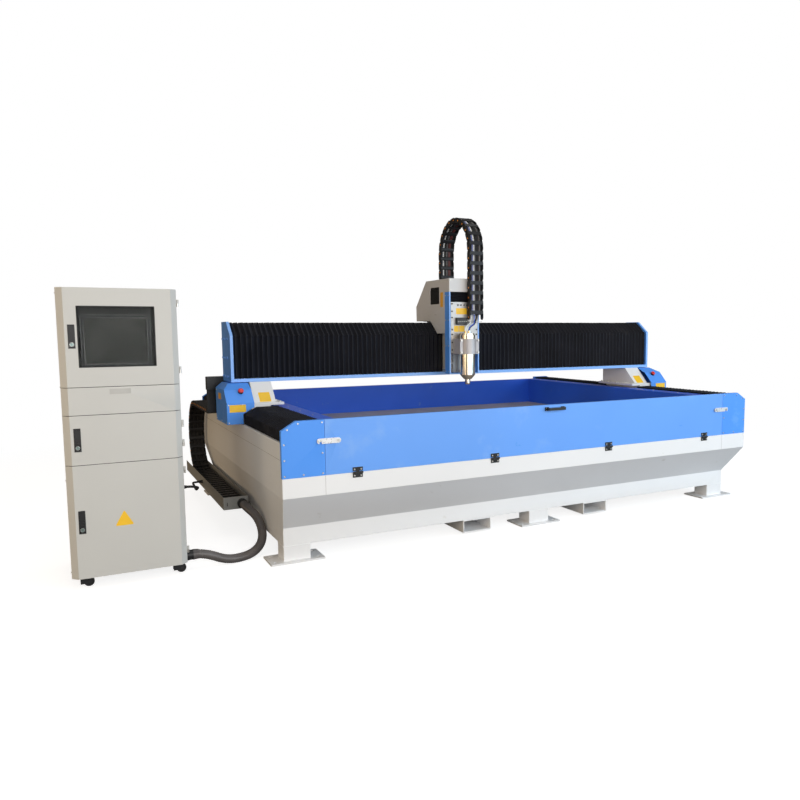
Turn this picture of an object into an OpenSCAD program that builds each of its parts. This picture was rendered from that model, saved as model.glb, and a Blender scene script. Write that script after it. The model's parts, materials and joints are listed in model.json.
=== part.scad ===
/* [Bed] */
// Width of the bed over its side skins
bed_w = 4000; // [3600:10:4800]
// Depth of the bed from front face to rear face
bed_d = 2800; // [2700:10:3400]
// Height of the bed's underside above the floor
underside_z = 107; // [100:1:160]
// Height of the straight lower band
lower_band_h = 118; // [80:1:160]
// Height of the sloping skirt
skirt_h = 230; // [150:1:280]
// Height of the white band above the skirt
upper_band_h = 123; // [80:1:180]
// How far the skirt draws in at front and rear
skirt_in_y = 190; // [80:1:260]
// How far the skirt draws in at each side
skirt_in_x = 45; // [10:1:90]
// Thickness of the bed's steel skin
skin_t = 8; // [5:1:14]
// Width of the box beam along each side
side_beam_w = 270; // [260:1:320]
// Wall of the side beams and the gantry beam
beam_wall = 12; // [8:1:20]
// Height of the side beams above the white band
side_beam_h = 217; // [180:1:260]
// Number of cross tubes that carry the table
cross_tubes = 7; // [4:1:10]
// Width of a cross tube
cross_tube_w = 80; // [50:1:120]
// Height of a cross tube
cross_tube_h = 120; // [80:1:160]

/* [Feet] */
// Width of a leg
leg_w = 175; // [120:1:220]
// Depth of a leg
leg_d = 140; // [100:1:180]
// Width of a foot plate
foot_plate_w = 350; // [300:1:420]
// Depth of a foot plate
foot_plate_d = 210; // [190:1:260]
// Thickness of a foot plate
foot_plate_t = 12; // [8:1:20]
// Diameter of the anchor holes in a foot plate
foot_hole_d = 22; // [14:1:30]
// Distance of an anchor hole from the plate's ends
foot_hole_in = 35; // [28:1:50]
// Outer width of a forklift channel
fork_w = 230; // [180:1:260]
// Outer height of a forklift channel
fork_h = 92; // [70:1:95]
// Wall of a forklift channel
fork_wall = 8; // [5:1:12]
// Distance of each forklift channel from the middle of the bed
fork_x = 540; // [420:10:800]

/* [Tank] */
// Height of the end caps and the door above the white band
cap_h = 347; // [320:1:400]
// Width of the slanted corner of an end cap
cap_slant_w = 92; // [60:1:120]
// Height of the slanted corner of an end cap
cap_slant_h = 56; // [30:1:80]
// Depth of an end cap
cap_d = 30; // [20:1:45]
// Sheet thickness of caps and covers
sheet_t = 4; // [3:1:6]
// Thickness of the folding front door
door_t = 28; // [20:1:30]
// Width of the ledge along each side of the tank
ledge_w = 130; // [90:1:160]
// Height of the tank wall below the top of the end caps
wall_drop = 20; // [10:1:40]
// Height of the table's surface above the white band
table_up = 67; // [50:1:110]
// Thickness of the table top
table_t = 20; // [15:1:30]
// Depth of the rear wall of the tank
rear_wall_d = 70; // [50:1:100]
// Gap between the door's back and the table
table_front_gap = 32; // [10:1:60]
// Distance of the inner door hinges from the middle
hinge_in_x = 507; // [400:1:650]
// Distance of the outer door hinges from the middle
hinge_out_x = 1520; // [1200:10:1600]
// Width of a door hinge
hinge_w = 66; // [50:1:80]
// Height of each leaf of a door hinge
hinge_leaf_h = 33; // [25:1:45]
// Radius of a door hinge pin
hinge_pin_r = 4; // [3:0.5:5]
// Length of the door's pull handle
handle_w = 170; // [120:1:220]
// How far the pull handle stands out
handle_out = 40; // [34:1:60]
// Length of a door latch
latch_l = 130; // [110:1:150]
// Height of a door latch
latch_h = 34; // [26:1:44]

/* [Gantry] */
// Distance from the bed's front to the gantry's front
gantry_y = 1228; // [1000:1:1400]
// Depth of the gantry's end plates
gantry_d = 305; // [290:1:340]
// Height of the gantry's underside above the floor
gantry_z = 1090; // [1080:1:1160]
// Height of the gantry's end plates
gantry_h = 450; // [430:1:520]
// Depth of the slanted corner of the gantry
gantry_slant_d = 128; // [90:1:140]
// Height of the slanted corner of the gantry
gantry_slant_h = 103; // [70:1:120]
// Thickness of an end plate
end_plate_t = 22; // [16:1:30]
// How far the end plates stand out past the bed's sides
gantry_over = 36; // [26:1:60]
// Height of the sill under the gantry's bellows
sill_h = 26; // [20:1:32]
// Distance from the gantry's front to its beam
beam_in_y = 72; // [68:1:80]
// Depth of the gantry beam
beam_d = 230; // [205:1:233]
// Height of the gantry beam
beam_h = 360; // [345:1:368]
// How far a carriage foot reaches ahead of the gantry
foot_reach = 168; // [150:1:200]
// How far a carriage foot reaches behind the gantry
foot_rear = 27; // [20:1:40]
// Width of a carriage foot
foot_w = 160; // [120:1:170]
// Distance of a carriage foot from the bed's side
foot_in = 95; // [92:1:110]
// How far a side cover stands out past the bed's side
cover_over = 110; // [100:1:140]
// Radius of a stop button's head
stop_head_r = 20; // [15:1:24]

/* [Travel guides] */
// Width of a guide rail
rail_w = 34; // [25:1:40]
// Height of a guide rail
rail_h = 38; // [30:1:42]
// Height of a gantry guide rail
beam_rail_h = 28; // [24:1:30]
// Running gap between a block and its rail
rail_gap = 0.4; // [0.3:0.1:0.8]
// Width of a rack
rack_w = 22; // [18:1:24]
// Length of one bellows fold
fold_pitch = 40; // [30:1:60]
// Depth of the bellows folds
fold_depth = 18; // [8:1:20]
// Thickness of the bellows cloth
fold_t = 2.5; // [1.5:0.5:4]

/* [Head] */
// Distance of the engraving head from the bed's middle
head_x = -190; // [-600:10:600]
// Width of the head's housing
head_w = 280; // [260:1:320]
// Distance from the gantry's front to the head's front
head_out = 228; // [220:1:260]
// Depth of the blue side covers
head_cover_d = 80; // [76:1:90]
// Height of the head's lower edge above the gantry's underside
head_low = 20; // [10:1:40]
// Height of the blue side covers
head_h = 669; // [620:1:720]
// Height of the white motor box
motor_box_h = 109; // [100:1:130]
// Width of the neck that carries the head
neck_w = 150; // [140:1:200]
// Width of the moving head plate
plate_clear = 2; // [1:0.5:4]
// Height of the moving head plate
plate_h = 417; // [400:1:440]
// Thickness of the moving head plate
plate_t = 22; // [18:1:26]
// Distance between the head plate's top and the motor box
z_bellows_h = 82; // [70:1:120]
// Radius of the spindle
spindle_r = 62.5; // [50:0.5:65]
// Distance from the head plate to the spindle's middle
spindle_out = 73; // [72:1:90]
// Distance of the spindle from the head's middle
spindle_side = 12; // [0:1:20]
// Depth of the clamp's ears in front of the spindle's middle
clamp_ear_d = 35; // [20:1:45]
// Wall of the clamp around the spindle
clamp_wall = 9; // [7:1:11]
// Length of the spindle's straight body
spindle_l = 325; // [300:1:360]
// Height of the spindle clamp
clamp_h = 124; // [90:1:150]
// Width of the spindle clamp
clamp_w = 176; // [170:1:200]
// Radius of the collet's bore
collet_r = 6.35; // [3:0.05:8]
// Radius of the lifting screw
screw_r = 12.5; // [10:0.5:16]

/* [Cable chains] */
// Pitch of the chain links
link_p = 80; // [70:1:90]
// Width of the chain
chain_w = 130; // [100:1:140]
// Height of a chain link
link_h = 46; // [36:1:52]
// Thickness of the chain's side plates
link_t = 8; // [5:1:10]
// Links in the side chain's bend
side_bend_links = 12; // [10:2:14]
// Straight links below the side chain's bend
side_low_links = 17; // [14:1:18]
// Straight links above the side chain's bend
side_top_links = 9; // [8:1:10]
// Links in the head chain's bend
head_bend_links = 10; // [8:2:12]
// Straight links in the head chain's rear leg
head_rear_links = 3; // [2:1:5]
// Straight links in the head chain's front leg
head_front_links = 7; // [6:1:8]
// Width of the tray that carries the side chain
tray_w = 170; // [160:1:200]
// Height of the tray's lip
tray_h = 90; // [60:1:110]
// Height of the tray above the floor
tray_z = 200; // [180:1:220]

/* [Cabinet] */
// Width of the cabinet
cab_w = 625; // [560:5:700]
// Depth of the cabinet
cab_d = 600; // [500:5:700]
// Height of the cabinet's body
cab_h = 1645; // [1500:5:1800]
// Distance from the bed's side to the cabinet
cab_gap = 515; // [450:5:700]
// Distance from the bed's front to the cabinet's front
cab_y = 270; // [200:5:400]
// Height of the casters
caster_h = 66; // [65:1:80]
// Width of the bevelled front edges
bevel = 35; // [20:1:40]
// Depth of the doors
cab_door_d = 40; // [40:1:50]
// Wall of the cabinet
cab_wall = 3; // [2:0.5:4]
// Height of the lower door
lower_door_h = 652; // [600:1:700]
// Height of the middle door
middle_door_h = 281; // [240:1:320]
// Height of the keyboard drawer's front
drawer_h = 157; // [120:1:180]
// Width of the window for the monitor
window_w = 397; // [340:1:420]
// Height of the window for the monitor
window_h = 338; // [280:1:360]
// Gap between the doors
door_gap = 3; // [2:0.5:5]
// Width of a door lock
lock_w = 35; // [30:1:40]
// Height of a door lock
lock_h = 129; // [110:1:140]
// Radius of a caster wheel
wheel_r = 28; // [25:0.5:28.5]
// Width of a caster wheel
wheel_w = 26; // [20:1:30]

/* [Cords] */
// Diameter of the grey hose
hose_d = 58; // [50:1:64]
// Diameter of the black cable
cable_d = 16; // [10:1:18]

/* [Hidden] */
$fn = 48;

white = "whitesmoke";
grey = "gainsboro";
blue = "royalblue";
black = "#222326";
steel = "silver";

// Heights of the bed
lower_band_z = underside_z + lower_band_h;
skirt_z = lower_band_z + skirt_h;
deck_z = skirt_z + upper_band_h;
beam_top_z = deck_z + side_beam_h;
cap_z = deck_z + cap_h;
wall_z = cap_z - wall_drop;
table_z = deck_z + table_up;
cross_z = table_z - table_t;

// Widths of the bed, from its middle
half_w = bed_w / 2;
beam_x = half_w - side_beam_w;
tank_x = beam_x - ledge_w;
leg_x = half_w - skirt_in_x - leg_w / 2;
door_clear = 2;
tank_back_y = bed_d - cap_d - rear_wall_d;

// Guides on the side beams
rail_x = half_w - 140;
rack_x = half_w - 60;
bellows_out_x = half_w - 10;
bellows_in_x = beam_x + 8;
bellows_top_z = cap_z - 5;
bellows_low_z = beam_top_z + 2;
block_top_z = beam_top_z + rail_h + 19;
block_drop = 42;
base_plate_t = 20;
base_z = cap_z;

// Places along the travel of the gantry
saddle_y = gantry_y - foot_reach;
saddle_end_y = gantry_y + gantry_d + foot_rear;
cover_y = saddle_y - 20;
cover_rear = 222;
cover_end_y = gantry_y + cover_rear;
cover_low_z = beam_top_z + 5;
cover_top_z = gantry_z - 5;
cover_slope_h = 42;
cover_slope_d = 98;
cover_edge_w = 48;
cover_edge_h = 40;
cover_fold_z = cover_top_z - cover_slope_h;
cover_fold_y = gantry_y - cover_slope_d;
cover_front_z = cover_fold_z - (cover_fold_y - cover_y);
foot_x = half_w - foot_in;

// The gantry beam and its guides
end_x = half_w + gantry_over;
end_in_x = end_x - end_plate_t;
gantry_top_z = gantry_z + gantry_h;
gantry_end_y = gantry_y + gantry_d;
beam_y = gantry_y + beam_in_y;
beam_end_y = beam_y + beam_d;
beam_rail_low_z = gantry_z + 90;
beam_rail_high_z = gantry_z + 310;
back_rack_z = gantry_z + 320;

// The head
head_y = gantry_y - head_out;
head_z = gantry_z + head_low;
motor_box_z = head_z + head_h;
motor_box_top_z = motor_box_z + motor_box_h;
head_left = head_x - head_w / 2;
head_right = head_x + head_w / 2;
head_sheet_t = 12;
back_plate_y = head_y + head_cover_d;
back_plate_t = 20;
plate_top_z = motor_box_z - z_bellows_h;
plate_z = plate_top_z - plate_h;
plate_half_w = head_w / 2 - head_sheet_t - plate_clear;
arm_z = gantry_top_z + 5;
arm_t = 15;
arm_end_y = gantry_end_y + 87;
// the white hood over the motors and the neck
hood_rear = 97;
hood_slope_d = 203;
hood_slope_h = 213;
hood_tuck = 5;
hood_clear = 8;
vent_in = 101;
vent_w = 165;
vent_h = 140;
vent_low = 93;
// the lifting motor and the motor of the head's travel
motor_w = 86;
lift_motor_up = 14;
lift_motor_l = 82;
travel_motor_l = 130;
rail_end_gap = 60;
back_rack_h = 22;
head_rail_x = 85;
screw_y = head_y + 50;
spindle_x = head_x - spindle_side;
spindle_y = head_y - spindle_out;
nose_z = head_z - 6;
spindle_top_z = nose_z + spindle_l;
clamp_z = plate_z - 7;
nut_z = nose_z - 36;

// Cable chains
side_bend_r = link_p / (2 * sin(90 / side_bend_links));
head_bend_r = link_p / (2 * sin(90 / head_bend_links));
tray_x = half_w + 2;
tray_t = 3;
tray_y = gantry_y - 258;
tray_rear = 390;
tray_l = side_low_links * link_p + tray_rear;
side_chain_x = -tray_x - tray_w / 2 - chain_w / 2;
side_chain_z = tray_z + tray_t + 14 + link_h / 2;
side_bend_y = tray_y + side_low_links * link_p;
side_bend_z = side_chain_z + side_bend_r;
side_top_z = side_chain_z + 2 * side_bend_r;
arm_bracket_y = side_bend_y - side_top_links * link_p;
head_chain_x = head_x + 20;
head_leg_y = head_y - 12 - link_h / 2;
head_bend_y = head_leg_y + head_bend_r;
head_rear_y = head_leg_y + 2 * head_bend_r;
head_chain_z = motor_box_top_z + 4;
head_bend_z = head_chain_z + head_rear_links * link_p;
head_leg_end_z = head_bend_z - head_front_links * link_p;

// The cabinet
cab_right = -half_w - cab_gap;
cab_left = cab_right - cab_w;
cab_z = caster_h;
cab_top_z = cab_z + cab_h;
cab_body_y = cab_y + cab_door_d + 2;
cab_back_y = cab_y + cab_d;
shelf_low_z = cab_z + lower_door_h;
shelf_mid_z = shelf_low_z + middle_door_h;
shelf_top_z = shelf_mid_z + drawer_h;
cab_hinge_x = cab_right + 7;
cab_hinge_y = cab_y + cab_door_d - 3;
cab_hinge_r = 6.5;
lock_x = cab_left + 51;
lock_depth = 14;
lock_pin_r = 2;
window_x = cab_left + 100;
window_up = 5.5;
window_z = (shelf_top_z + cab_top_z - window_h) / 2 + window_up;
caster_in = 60;
caster_front_y = cab_y + 75;
caster_rear_y = cab_back_y - 60;
caster_trail = 28;
axle_r = 4;
fit = 0.05;

// The origin: middle of the whole object on the floor
origin_x = -(cab_left + half_w + cover_over) / 2;
origin_y = -(bed_d - handle_out) / 2;

// Route of the grey hose, from the cabinet's side to the side chain's end
hose_route = [[-2475, 354, 95], [-2461, 354, 95], [-2424, 354, 91], [-2387, 354, 81],
    [-2350, 354, 66], [-2313, 354, 48], [-2276, 354, 36], [-2239, 355, 30], [-2203, 360, 29],
    [-2167, 371, 29], [-2134, 386, 31], [-2102, 405, 36], [-2074, 429, 44], [-2049, 456, 54],
    [-2028, 487, 67], [-2012, 520, 83], [-2000, 555, 102], [-1994, 591, 123], [-1992, 628, 146],
    [-1994, 665, 168], [-1999, 702, 186], [-2007, 739, 202], [-2018, 776, 215], [-2029, 813, 225],
    [-2037, 850, 233], [-2041, 887, 238], [-2043, 924, 240], [-2043, 942, 240]];

// Route of the black cable, from the cabinet's side to the chain tray
cable_route = [[-2490, 560, 480], [-2462, 560, 480], [-2432, 568, 476], [-2406, 592, 466],
    [-2390, 630, 454], [-2381, 690, 438], [-2373, 780, 414], [-2361, 890, 388],
    [-2347, 1010, 364], [-2332, 1140, 344], [-2316, 1280, 326], [-2300, 1420, 309],
    [-2285, 1560, 291], [-2272, 1670, 275], [-2262, 1735, 265], [-2256, 1784, 258],
    [-2251, 1809, 255], [-2237, 1831, 252], [-2215, 1845, 250], [-2190, 1850, 250],
    [-2184, 1850, 250]];

// A box from its lowest to its highest corner
module block(lo, hi) translate(lo) cube(hi - lo);

// An outline in Y and Z, drawn along X
module prism_x(x0, x1, pts)
    translate([x0, 0, 0]) rotate([90, 0, 90]) linear_extrude(x1 - x0) polygon(pts);

// An outline in X and Z, drawn along Y
module prism_y(y0, y1, pts)
    translate([0, y1, 0]) rotate([90, 0, 0]) linear_extrude(y1 - y0) polygon(pts);

// An outline in X and Y, drawn along Z
module prism_z(z0, z1, pts)
    translate([0, 0, z0]) linear_extrude(z1 - z0) polygon(pts);

// A rod along X, Y or Z
module rod_x(x0, x1, y, z, r) translate([x0, y, z]) rotate([0, 90, 0]) cylinder(h = x1 - x0, r = r);
module rod_y(y0, y1, x, z, r) translate([x, y1, z]) rotate([90, 0, 0]) cylinder(h = y1 - y0, r = r);
module rod_z(z0, z1, x, y, r) translate([x, y, z0]) cylinder(h = z1 - z0, r = r);

// The same piece on both sides of the bed
module both_sides() {
    children();
    mirror([1, 0, 0]) children();
}

// Puts the machine's own frame (front face, floor, middle) at the origin of the part
module placed() translate([origin_x, origin_y, 0]) children();

// A line of points moved inwards by d; inwards is to the right of the way it runs
function side_normal(a, b) = let (v = b - a) [v.y, -v.x] / norm(v);
function inset(line, d) = [for (i = [0 : len(line) - 1])
    let (n1 = side_normal(line[max(i - 1, 0)], line[max(i, 1)]),
         last = len(line) - 1,
         n2 = side_normal(line[min(i, last - 1)], line[min(i + 1, last)]))
    line[i] + d * (n1 + n2) / (1 + n1 * n2)];
function back_to_front(list) = [for (i = [len(list) - 1 : -1 : 0]) list[i]];

// A point of a bellows: s runs along the travel, p lies in the section
function bellows_point(axis, s, p) =
    axis == "x" ? [s, p.x, p.y] : axis == "y" ? [p.x, s, p.y] : [p.x, p.y, s];

// A pleated cover over a section line, from s0 to s1
module bellows(axis, s0, s1, line, pitch = fold_pitch, depth = fold_depth) {
    folds = max(2, round((s1 - s0) / pitch));
    rings = 2 * folds + 1;
    step = (s1 - s0) / (2 * folds);
    count = 2 * len(line);
    points = [for (i = [0 : rings - 1])
        let (d = i % 2 == 0 ? depth : 0,
             ring = concat(inset(line, d), back_to_front(inset(line, d + fold_t))))
        for (p = ring) bellows_point(axis, s0 + i * step, p)];
    walls = [for (i = [0 : rings - 2]) for (j = [0 : count - 1])
        let (k = (j + 1) % count, a = i * count, b = a + count)
        axis == "y" ? [a + j, b + j, b + k, a + k] : [a + j, a + k, b + k, b + j]];
    first = [for (j = [0 : len(line) - 2]) [j, j + 1, count - 2 - j, count - 1 - j]];
    end = [for (f = first) [for (i = f) i + (rings - 1) * count]];
    polyhedron(points, concat(walls, [for (f = first) axis == "y" ? f : back_to_front(f)],
        [for (f = end) axis == "y" ? back_to_front(f) : f]), convexity = 10);
}

// A round tube swept along a route
function unit(v) = v / norm(v);
function heading(route, i) = unit(route[min(i + 1, len(route) - 1)] - route[max(i - 1, 0)]);
module tube(route, d, sides, up = [0, 0, 1]) {
    rings = len(route);
    points = [for (i = [0 : rings - 1])
        let (t = heading(route, i), n = unit(cross(t, up)), b = cross(n, t))
        for (j = [0 : sides - 1])
        route[i] + d / 2 * (cos(360 * j / sides) * n + sin(360 * j / sides) * b)];
    walls = [for (i = [0 : rings - 2]) for (j = [0 : sides - 1])
        let (k = (j + 1) % sides, a = i * sides, b = a + sides)
        for (f = [[a + j, b + k, b + j], [a + j, a + k, b + k]]) f];
    polyhedron(points, concat(walls, [[for (j = [sides - 1 : -1 : 0]) j]],
        [[for (j = [0 : sides - 1]) (rings - 1) * sides + j]]), convexity = 10);
}

// One link of a cable chain; it runs along +Y from pin to pin
module chain_link() {
    tip = link_h / 2 * tan(10);
    bar_l = link_p * 0.4;
    for (x = [0, chain_w - link_t])
        prism_x(x, x + link_t, [[0.2, 0], [tip + 0.2, link_h / 2], [link_p - tip - 0.2, link_h / 2],
            [link_p - 0.2, 0], [link_p - tip - 0.2, -link_h / 2], [tip + 0.2, -link_h / 2]]);
    for (z = [-link_h / 2, link_h / 2 - 6])
        block([link_t, (link_p - bar_l) / 2, z], [chain_w - link_t, (link_p + bar_l) / 2, z + 6]);
}

// Links on a half circle around y, z, from link k0 to link k1 of n, the circle starting at angle a0
module chain_bend(n, k0, k1, r, y, z, a0)
    for (k = [k0 : k1 - 1])
        let (a = a0 + 180 * k / n)
        translate([0, y + r * cos(a), z + r * sin(a)]) rotate([a + 90 + 90 / n, 0, 0]) chain_link();

// The bed's outer form, made smaller by d on all sides
module bed_form(d, z0) {
    intersection() {
        prism_x(-half_w, half_w, [[skirt_in_y + d, z0], [skirt_in_y + d, lower_band_z],
            [d, skirt_z], [d, deck_z + d], [bed_d - d, deck_z + d], [bed_d - d, skirt_z],
            [bed_d - skirt_in_y - d, lower_band_z], [bed_d - skirt_in_y - d, z0]]);
        prism_y(0, bed_d, [[-half_w + skirt_in_x + d, z0], [-half_w + skirt_in_x + d, lower_band_z],
            [-half_w + d, skirt_z], [-half_w + d, deck_z + d], [half_w - d, deck_z + d],
            [half_w - d, skirt_z], [half_w - skirt_in_x - d, lower_band_z],
            [half_w - skirt_in_x - d, z0]]);
    }
}

// Middles of the six legs
module at_legs()
    for (x = [-leg_x, 0, leg_x], y = [skirt_in_y + leg_d / 2, bed_d - skirt_in_y - leg_d / 2])
        translate([x, y, 0]) children();

module bed_frame() color(white) {
    difference() {
        bed_form(0, underside_z);
        bed_form(skin_t, underside_z + skin_t);
    }
    // deck flange along the front and the rear
    block([-beam_x, 0, deck_z - skin_t], [beam_x, cap_d + 20, deck_z]);
    block([-beam_x, bed_d - cap_d - 20, deck_z - skin_t], [beam_x, bed_d, deck_z]);
    // side beams
    both_sides() difference() {
        block([beam_x, cap_d, skirt_z + skin_t], [half_w, bed_d - cap_d, beam_top_z]);
        block([beam_x + beam_wall, cap_d + beam_wall, skirt_z + skin_t + beam_wall],
            [half_w - beam_wall, bed_d - cap_d - beam_wall, beam_top_z - beam_wall]);
    }
    // cross tubes under the table
    for (i = [0 : cross_tubes - 1])
        let (y = cap_d + 60 + i * (tank_back_y - cap_d - 120 - cross_tube_w) / (cross_tubes - 1))
        difference() {
            block([-beam_x, y, cross_z - cross_tube_h], [beam_x, y + cross_tube_w, cross_z]);
            block([-beam_x - 1, y + 6, cross_z - cross_tube_h + 6],
                [beam_x + 1, y + cross_tube_w - 6, cross_z - 6]);
        }
    at_legs() difference() {
        block([-leg_w / 2, -leg_d / 2, foot_plate_t], [leg_w / 2, leg_d / 2, underside_z]);
        block([-leg_w / 2 + 10, -leg_d / 2 + 10, foot_plate_t - 1],
            [leg_w / 2 - 10, leg_d / 2 - 10, underside_z - 10]);
    }
}

module foot_plates() color(grey) at_legs() difference() {
    block([-foot_plate_w / 2, -foot_plate_d / 2, 0], [foot_plate_w / 2, foot_plate_d / 2, foot_plate_t]);
    for (x = [-1, 1], y = [-1, 1])
        rod_z(-1, foot_plate_t + 1, x * (foot_plate_w / 2 - foot_hole_in),
            y * (foot_plate_d / 2 - foot_hole_in), foot_hole_d / 2);
}

module fork_channels() color(grey) for (x = [-fork_x, fork_x]) difference() {
    block([x - fork_w / 2, skirt_in_y, underside_z - fork_h],
        [x + fork_w / 2, bed_d - skirt_in_y, underside_z]);
    block([x - fork_w / 2 + fork_wall, skirt_in_y - 1, underside_z - fork_h + fork_wall],
        [x + fork_w / 2 - fork_wall, bed_d - skirt_in_y + 1, underside_z - fork_wall]);
}

module table_top() color("dimgray")
    block([-tank_x + 2, cap_d + table_front_gap - 2, cross_z], [tank_x - 2, tank_back_y - 2, table_z]);

// A closed sheet box
module sheet_box(lo, hi) difference() {
    block(lo, hi);
    block(lo + [sheet_t, sheet_t, sheet_t], hi - [sheet_t, sheet_t, sheet_t]);
}

module tank_lining() color(blue) {
    both_sides() sheet_box([tank_x, cap_d + 2, cross_z], [beam_x, tank_back_y + sheet_t, wall_z]);
    sheet_box([-beam_x, tank_back_y, deck_z], [beam_x, bed_d - cap_d, wall_z]);
}

// Outline of an end cap on the right-hand side
function cap_outline(d) = [[half_w - side_beam_w + d, deck_z + d], [half_w - side_beam_w + d, cap_z - d],
    [half_w - cap_slant_w - d * 0.55, cap_z - d], [half_w - d, cap_z - cap_slant_h - d * 0.55],
    [half_w - d, deck_z + d]];

module end_caps() color(blue) both_sides() {
    difference() {
        prism_y(0, cap_d, cap_outline(0));
        prism_y(sheet_t, cap_d + 1, cap_outline(sheet_t));
    }
    difference() {
        prism_y(bed_d - cap_d, bed_d, cap_outline(0));
        prism_y(bed_d - cap_d - 1, bed_d - sheet_t, cap_outline(sheet_t));
    }
    // keeper of the door latch
    translate([beam_x + 30, 0, deck_z + 215]) rod_y(-9, 0, 0, 0, 6);
}

hinge_places = [-hinge_out_x, -hinge_in_x, hinge_in_x, hinge_out_x];
hinge_y = -hinge_pin_r - 4;
knuckle_r = hinge_pin_r + 3;

// Fixed leaf, pin and end knuckles of each door hinge
module hinge_leaves() color(black) for (x = hinge_places) translate([x, 0, deck_z]) {
    difference() {
        union() {
            block([-hinge_w / 2, -4, -hinge_leaf_h], [hinge_w / 2, 0, -knuckle_r - 1]);
            for (s = [-hinge_w / 2, hinge_w / 6]) {
                block([s, -4, -knuckle_r - 1], [s + hinge_w / 3, 0, -1]);
                rod_x(s, s + hinge_w / 3, hinge_y, 0, knuckle_r);
            }
        }
        block([-hinge_w, -knuckle_r, 0.5], [hinge_w, 1, knuckle_r + 2]);
    }
    rod_x(-hinge_w / 2, hinge_w / 2, hinge_y, 0, hinge_pin_r);
}

module tank_door() color(blue) {
    difference() {
        block([-beam_x + door_clear, 0, deck_z + 1], [beam_x - door_clear, door_t, cap_z]);
        block([-beam_x + door_clear + sheet_t, sheet_t, deck_z + 1 + sheet_t],
            [beam_x - door_clear - sheet_t, door_t + 1, cap_z - sheet_t]);
    }
    // stiffening channels behind the sheet
    for (x = [-1, -0.5, 0, 0.5, 1] * (beam_x - 60))
        block([x - 20, sheet_t, deck_z + 1 + sheet_t], [x + 20, door_t, cap_z - sheet_t]);
    for (x = hinge_places) translate([x, 0, deck_z]) difference() {
        union() {
            block([-hinge_w / 2, -4, knuckle_r + 2], [hinge_w / 2, 0, hinge_leaf_h]);
            block([-hinge_w / 6 + 0.4, -4, 1], [hinge_w / 6 - 0.4, 0, knuckle_r + 2]);
            rod_x(-hinge_w / 6 + 0.4, hinge_w / 6 - 0.4, hinge_y, 0, knuckle_r);
        }
        rod_x(-hinge_w, hinge_w, hinge_y, 0, hinge_pin_r + fit);
        block([-hinge_w / 6, -4.5, -knuckle_r - 1], [hinge_w / 6, 1, 0.5]);
    }
    // pivots of the two latches
    both_sides() rod_y(-13, 0, beam_x - 85, deck_z + 215, 5);
}

module door_handle() color(black) translate([0, 0, cap_z - 28]) {
    for (x = [-1, 1]) {
        block([x * (handle_w / 2 - 14) - 14, -12, -13], [x * (handle_w / 2 - 14) + 14, 0, 13]);
        block([x * (handle_w / 2 - 20) - 8, 10 - handle_out, -9], [x * (handle_w / 2 - 20) + 8, -12, 9]);
    }
    block([-handle_w / 2 + 12, -handle_out, -10], [handle_w / 2 - 12, 10 - handle_out, 10]);
}

// A flat latch that turns on its pivot and hooks over the keeper of the end cap
module latch_right() color(steel) difference() {
    translate([beam_x - 85, 0, deck_z + 215]) union() {
        block([0, -10, -latch_h / 2], [latch_l - 10, -4, latch_h / 2]);
        rod_y(-10, -4, 0, 0, latch_h / 2);
        rod_y(-10, -4, latch_l - 10, 0, latch_h / 2);
        rod_y(-16, -10, latch_l - 6, 0, 5);
    }
    rod_y(-14, 0, beam_x - 85, deck_z + 215, 5 + fit);
    // slot for the keeper, open at the bottom
    translate([beam_x + 30, 0, deck_z + 215]) {
        rod_y(-14, 0, 0, 0, 6.4);
        block([-8.4, -14, -latch_h], [6.4, 0, 0]);
    }
}
module latch_left() mirror([1, 0, 0]) latch_right();

module guide_rails() color(steel) both_sides() {
    block([rail_x - rail_w / 2, cap_d + 20, beam_top_z], [rail_x + rail_w / 2, bed_d - cap_d - 20,
        beam_top_z + rail_h]);
    block([rack_x, cap_d + 20, beam_top_z], [rack_x + rack_w, bed_d - cap_d - 20, beam_top_z + 27]);
}

side_bellows_line = [[-bellows_out_x, bellows_low_z], [-bellows_out_x, cap_z - cap_slant_h],
    [-bellows_out_x + cap_slant_w - 4, bellows_top_z], [-bellows_in_x, bellows_top_z],
    [-bellows_in_x, bellows_low_z]];

side_bellows_right = back_to_front([for (p = side_bellows_line) [-p.x, p.y]]);

module side_bellows() color(black) for (line = [side_bellows_line, side_bellows_right]) {
    bellows("y", cap_d + 0.3, saddle_y - 0.3, line);
    bellows("y", saddle_end_y + 0.3, bed_d - cap_d - 0.3, line);
}

module chain_tray() color(grey) {
    difference() {
        block([-tray_x - tray_w, tray_y, tray_z], [-tray_x, tray_y + tray_l, tray_z + tray_h]);
        block([-tray_x - tray_w + tray_t, tray_y - 1, tray_z + tray_t],
            [-tray_x - tray_t, tray_y + tray_l + 1, tray_z + tray_h + 1]);
    }
    // brackets from the bed's lower band out to the tray
    for (y = [tray_y + 120, tray_y + tray_l / 2, tray_y + tray_l - 120])
        block([-tray_x - tray_w + 20, y, tray_z - 8], [-half_w + skirt_in_x, y + 60, tray_z]);
    // end plate that holds the fixed end of the chain, with the collar of the hose
    block([-tray_x - tray_w, tray_y - 4, tray_z], [-tray_x, tray_y, tray_z + tray_h]);
    rod_y(tray_y - 28, tray_y - 4, -tray_x - hose_d / 2 - 12, side_chain_z, hose_d / 2 + 6);
    // gland of the black cable
    rod_x(-tray_x - tray_w - 12, -tray_x - tray_w, 1850, tray_z + 50, cable_d / 2 + 5);
}

module side_chain_low() color(black) translate([side_chain_x, 0, 0])
    for (i = [0 : side_low_links - 1])
        translate([0, tray_y + i * link_p, side_chain_z]) chain_link();

module side_bend_low() color(black) translate([side_chain_x, 0, 0])
    chain_bend(side_bend_links, 0, side_bend_links / 2, side_bend_r, side_bend_y, side_bend_z, -90);

module side_bend_top() color(black) translate([side_chain_x, 0, 0])
    chain_bend(side_bend_links, side_bend_links / 2, side_bend_links, side_bend_r, side_bend_y,
        side_bend_z, -90);

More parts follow.
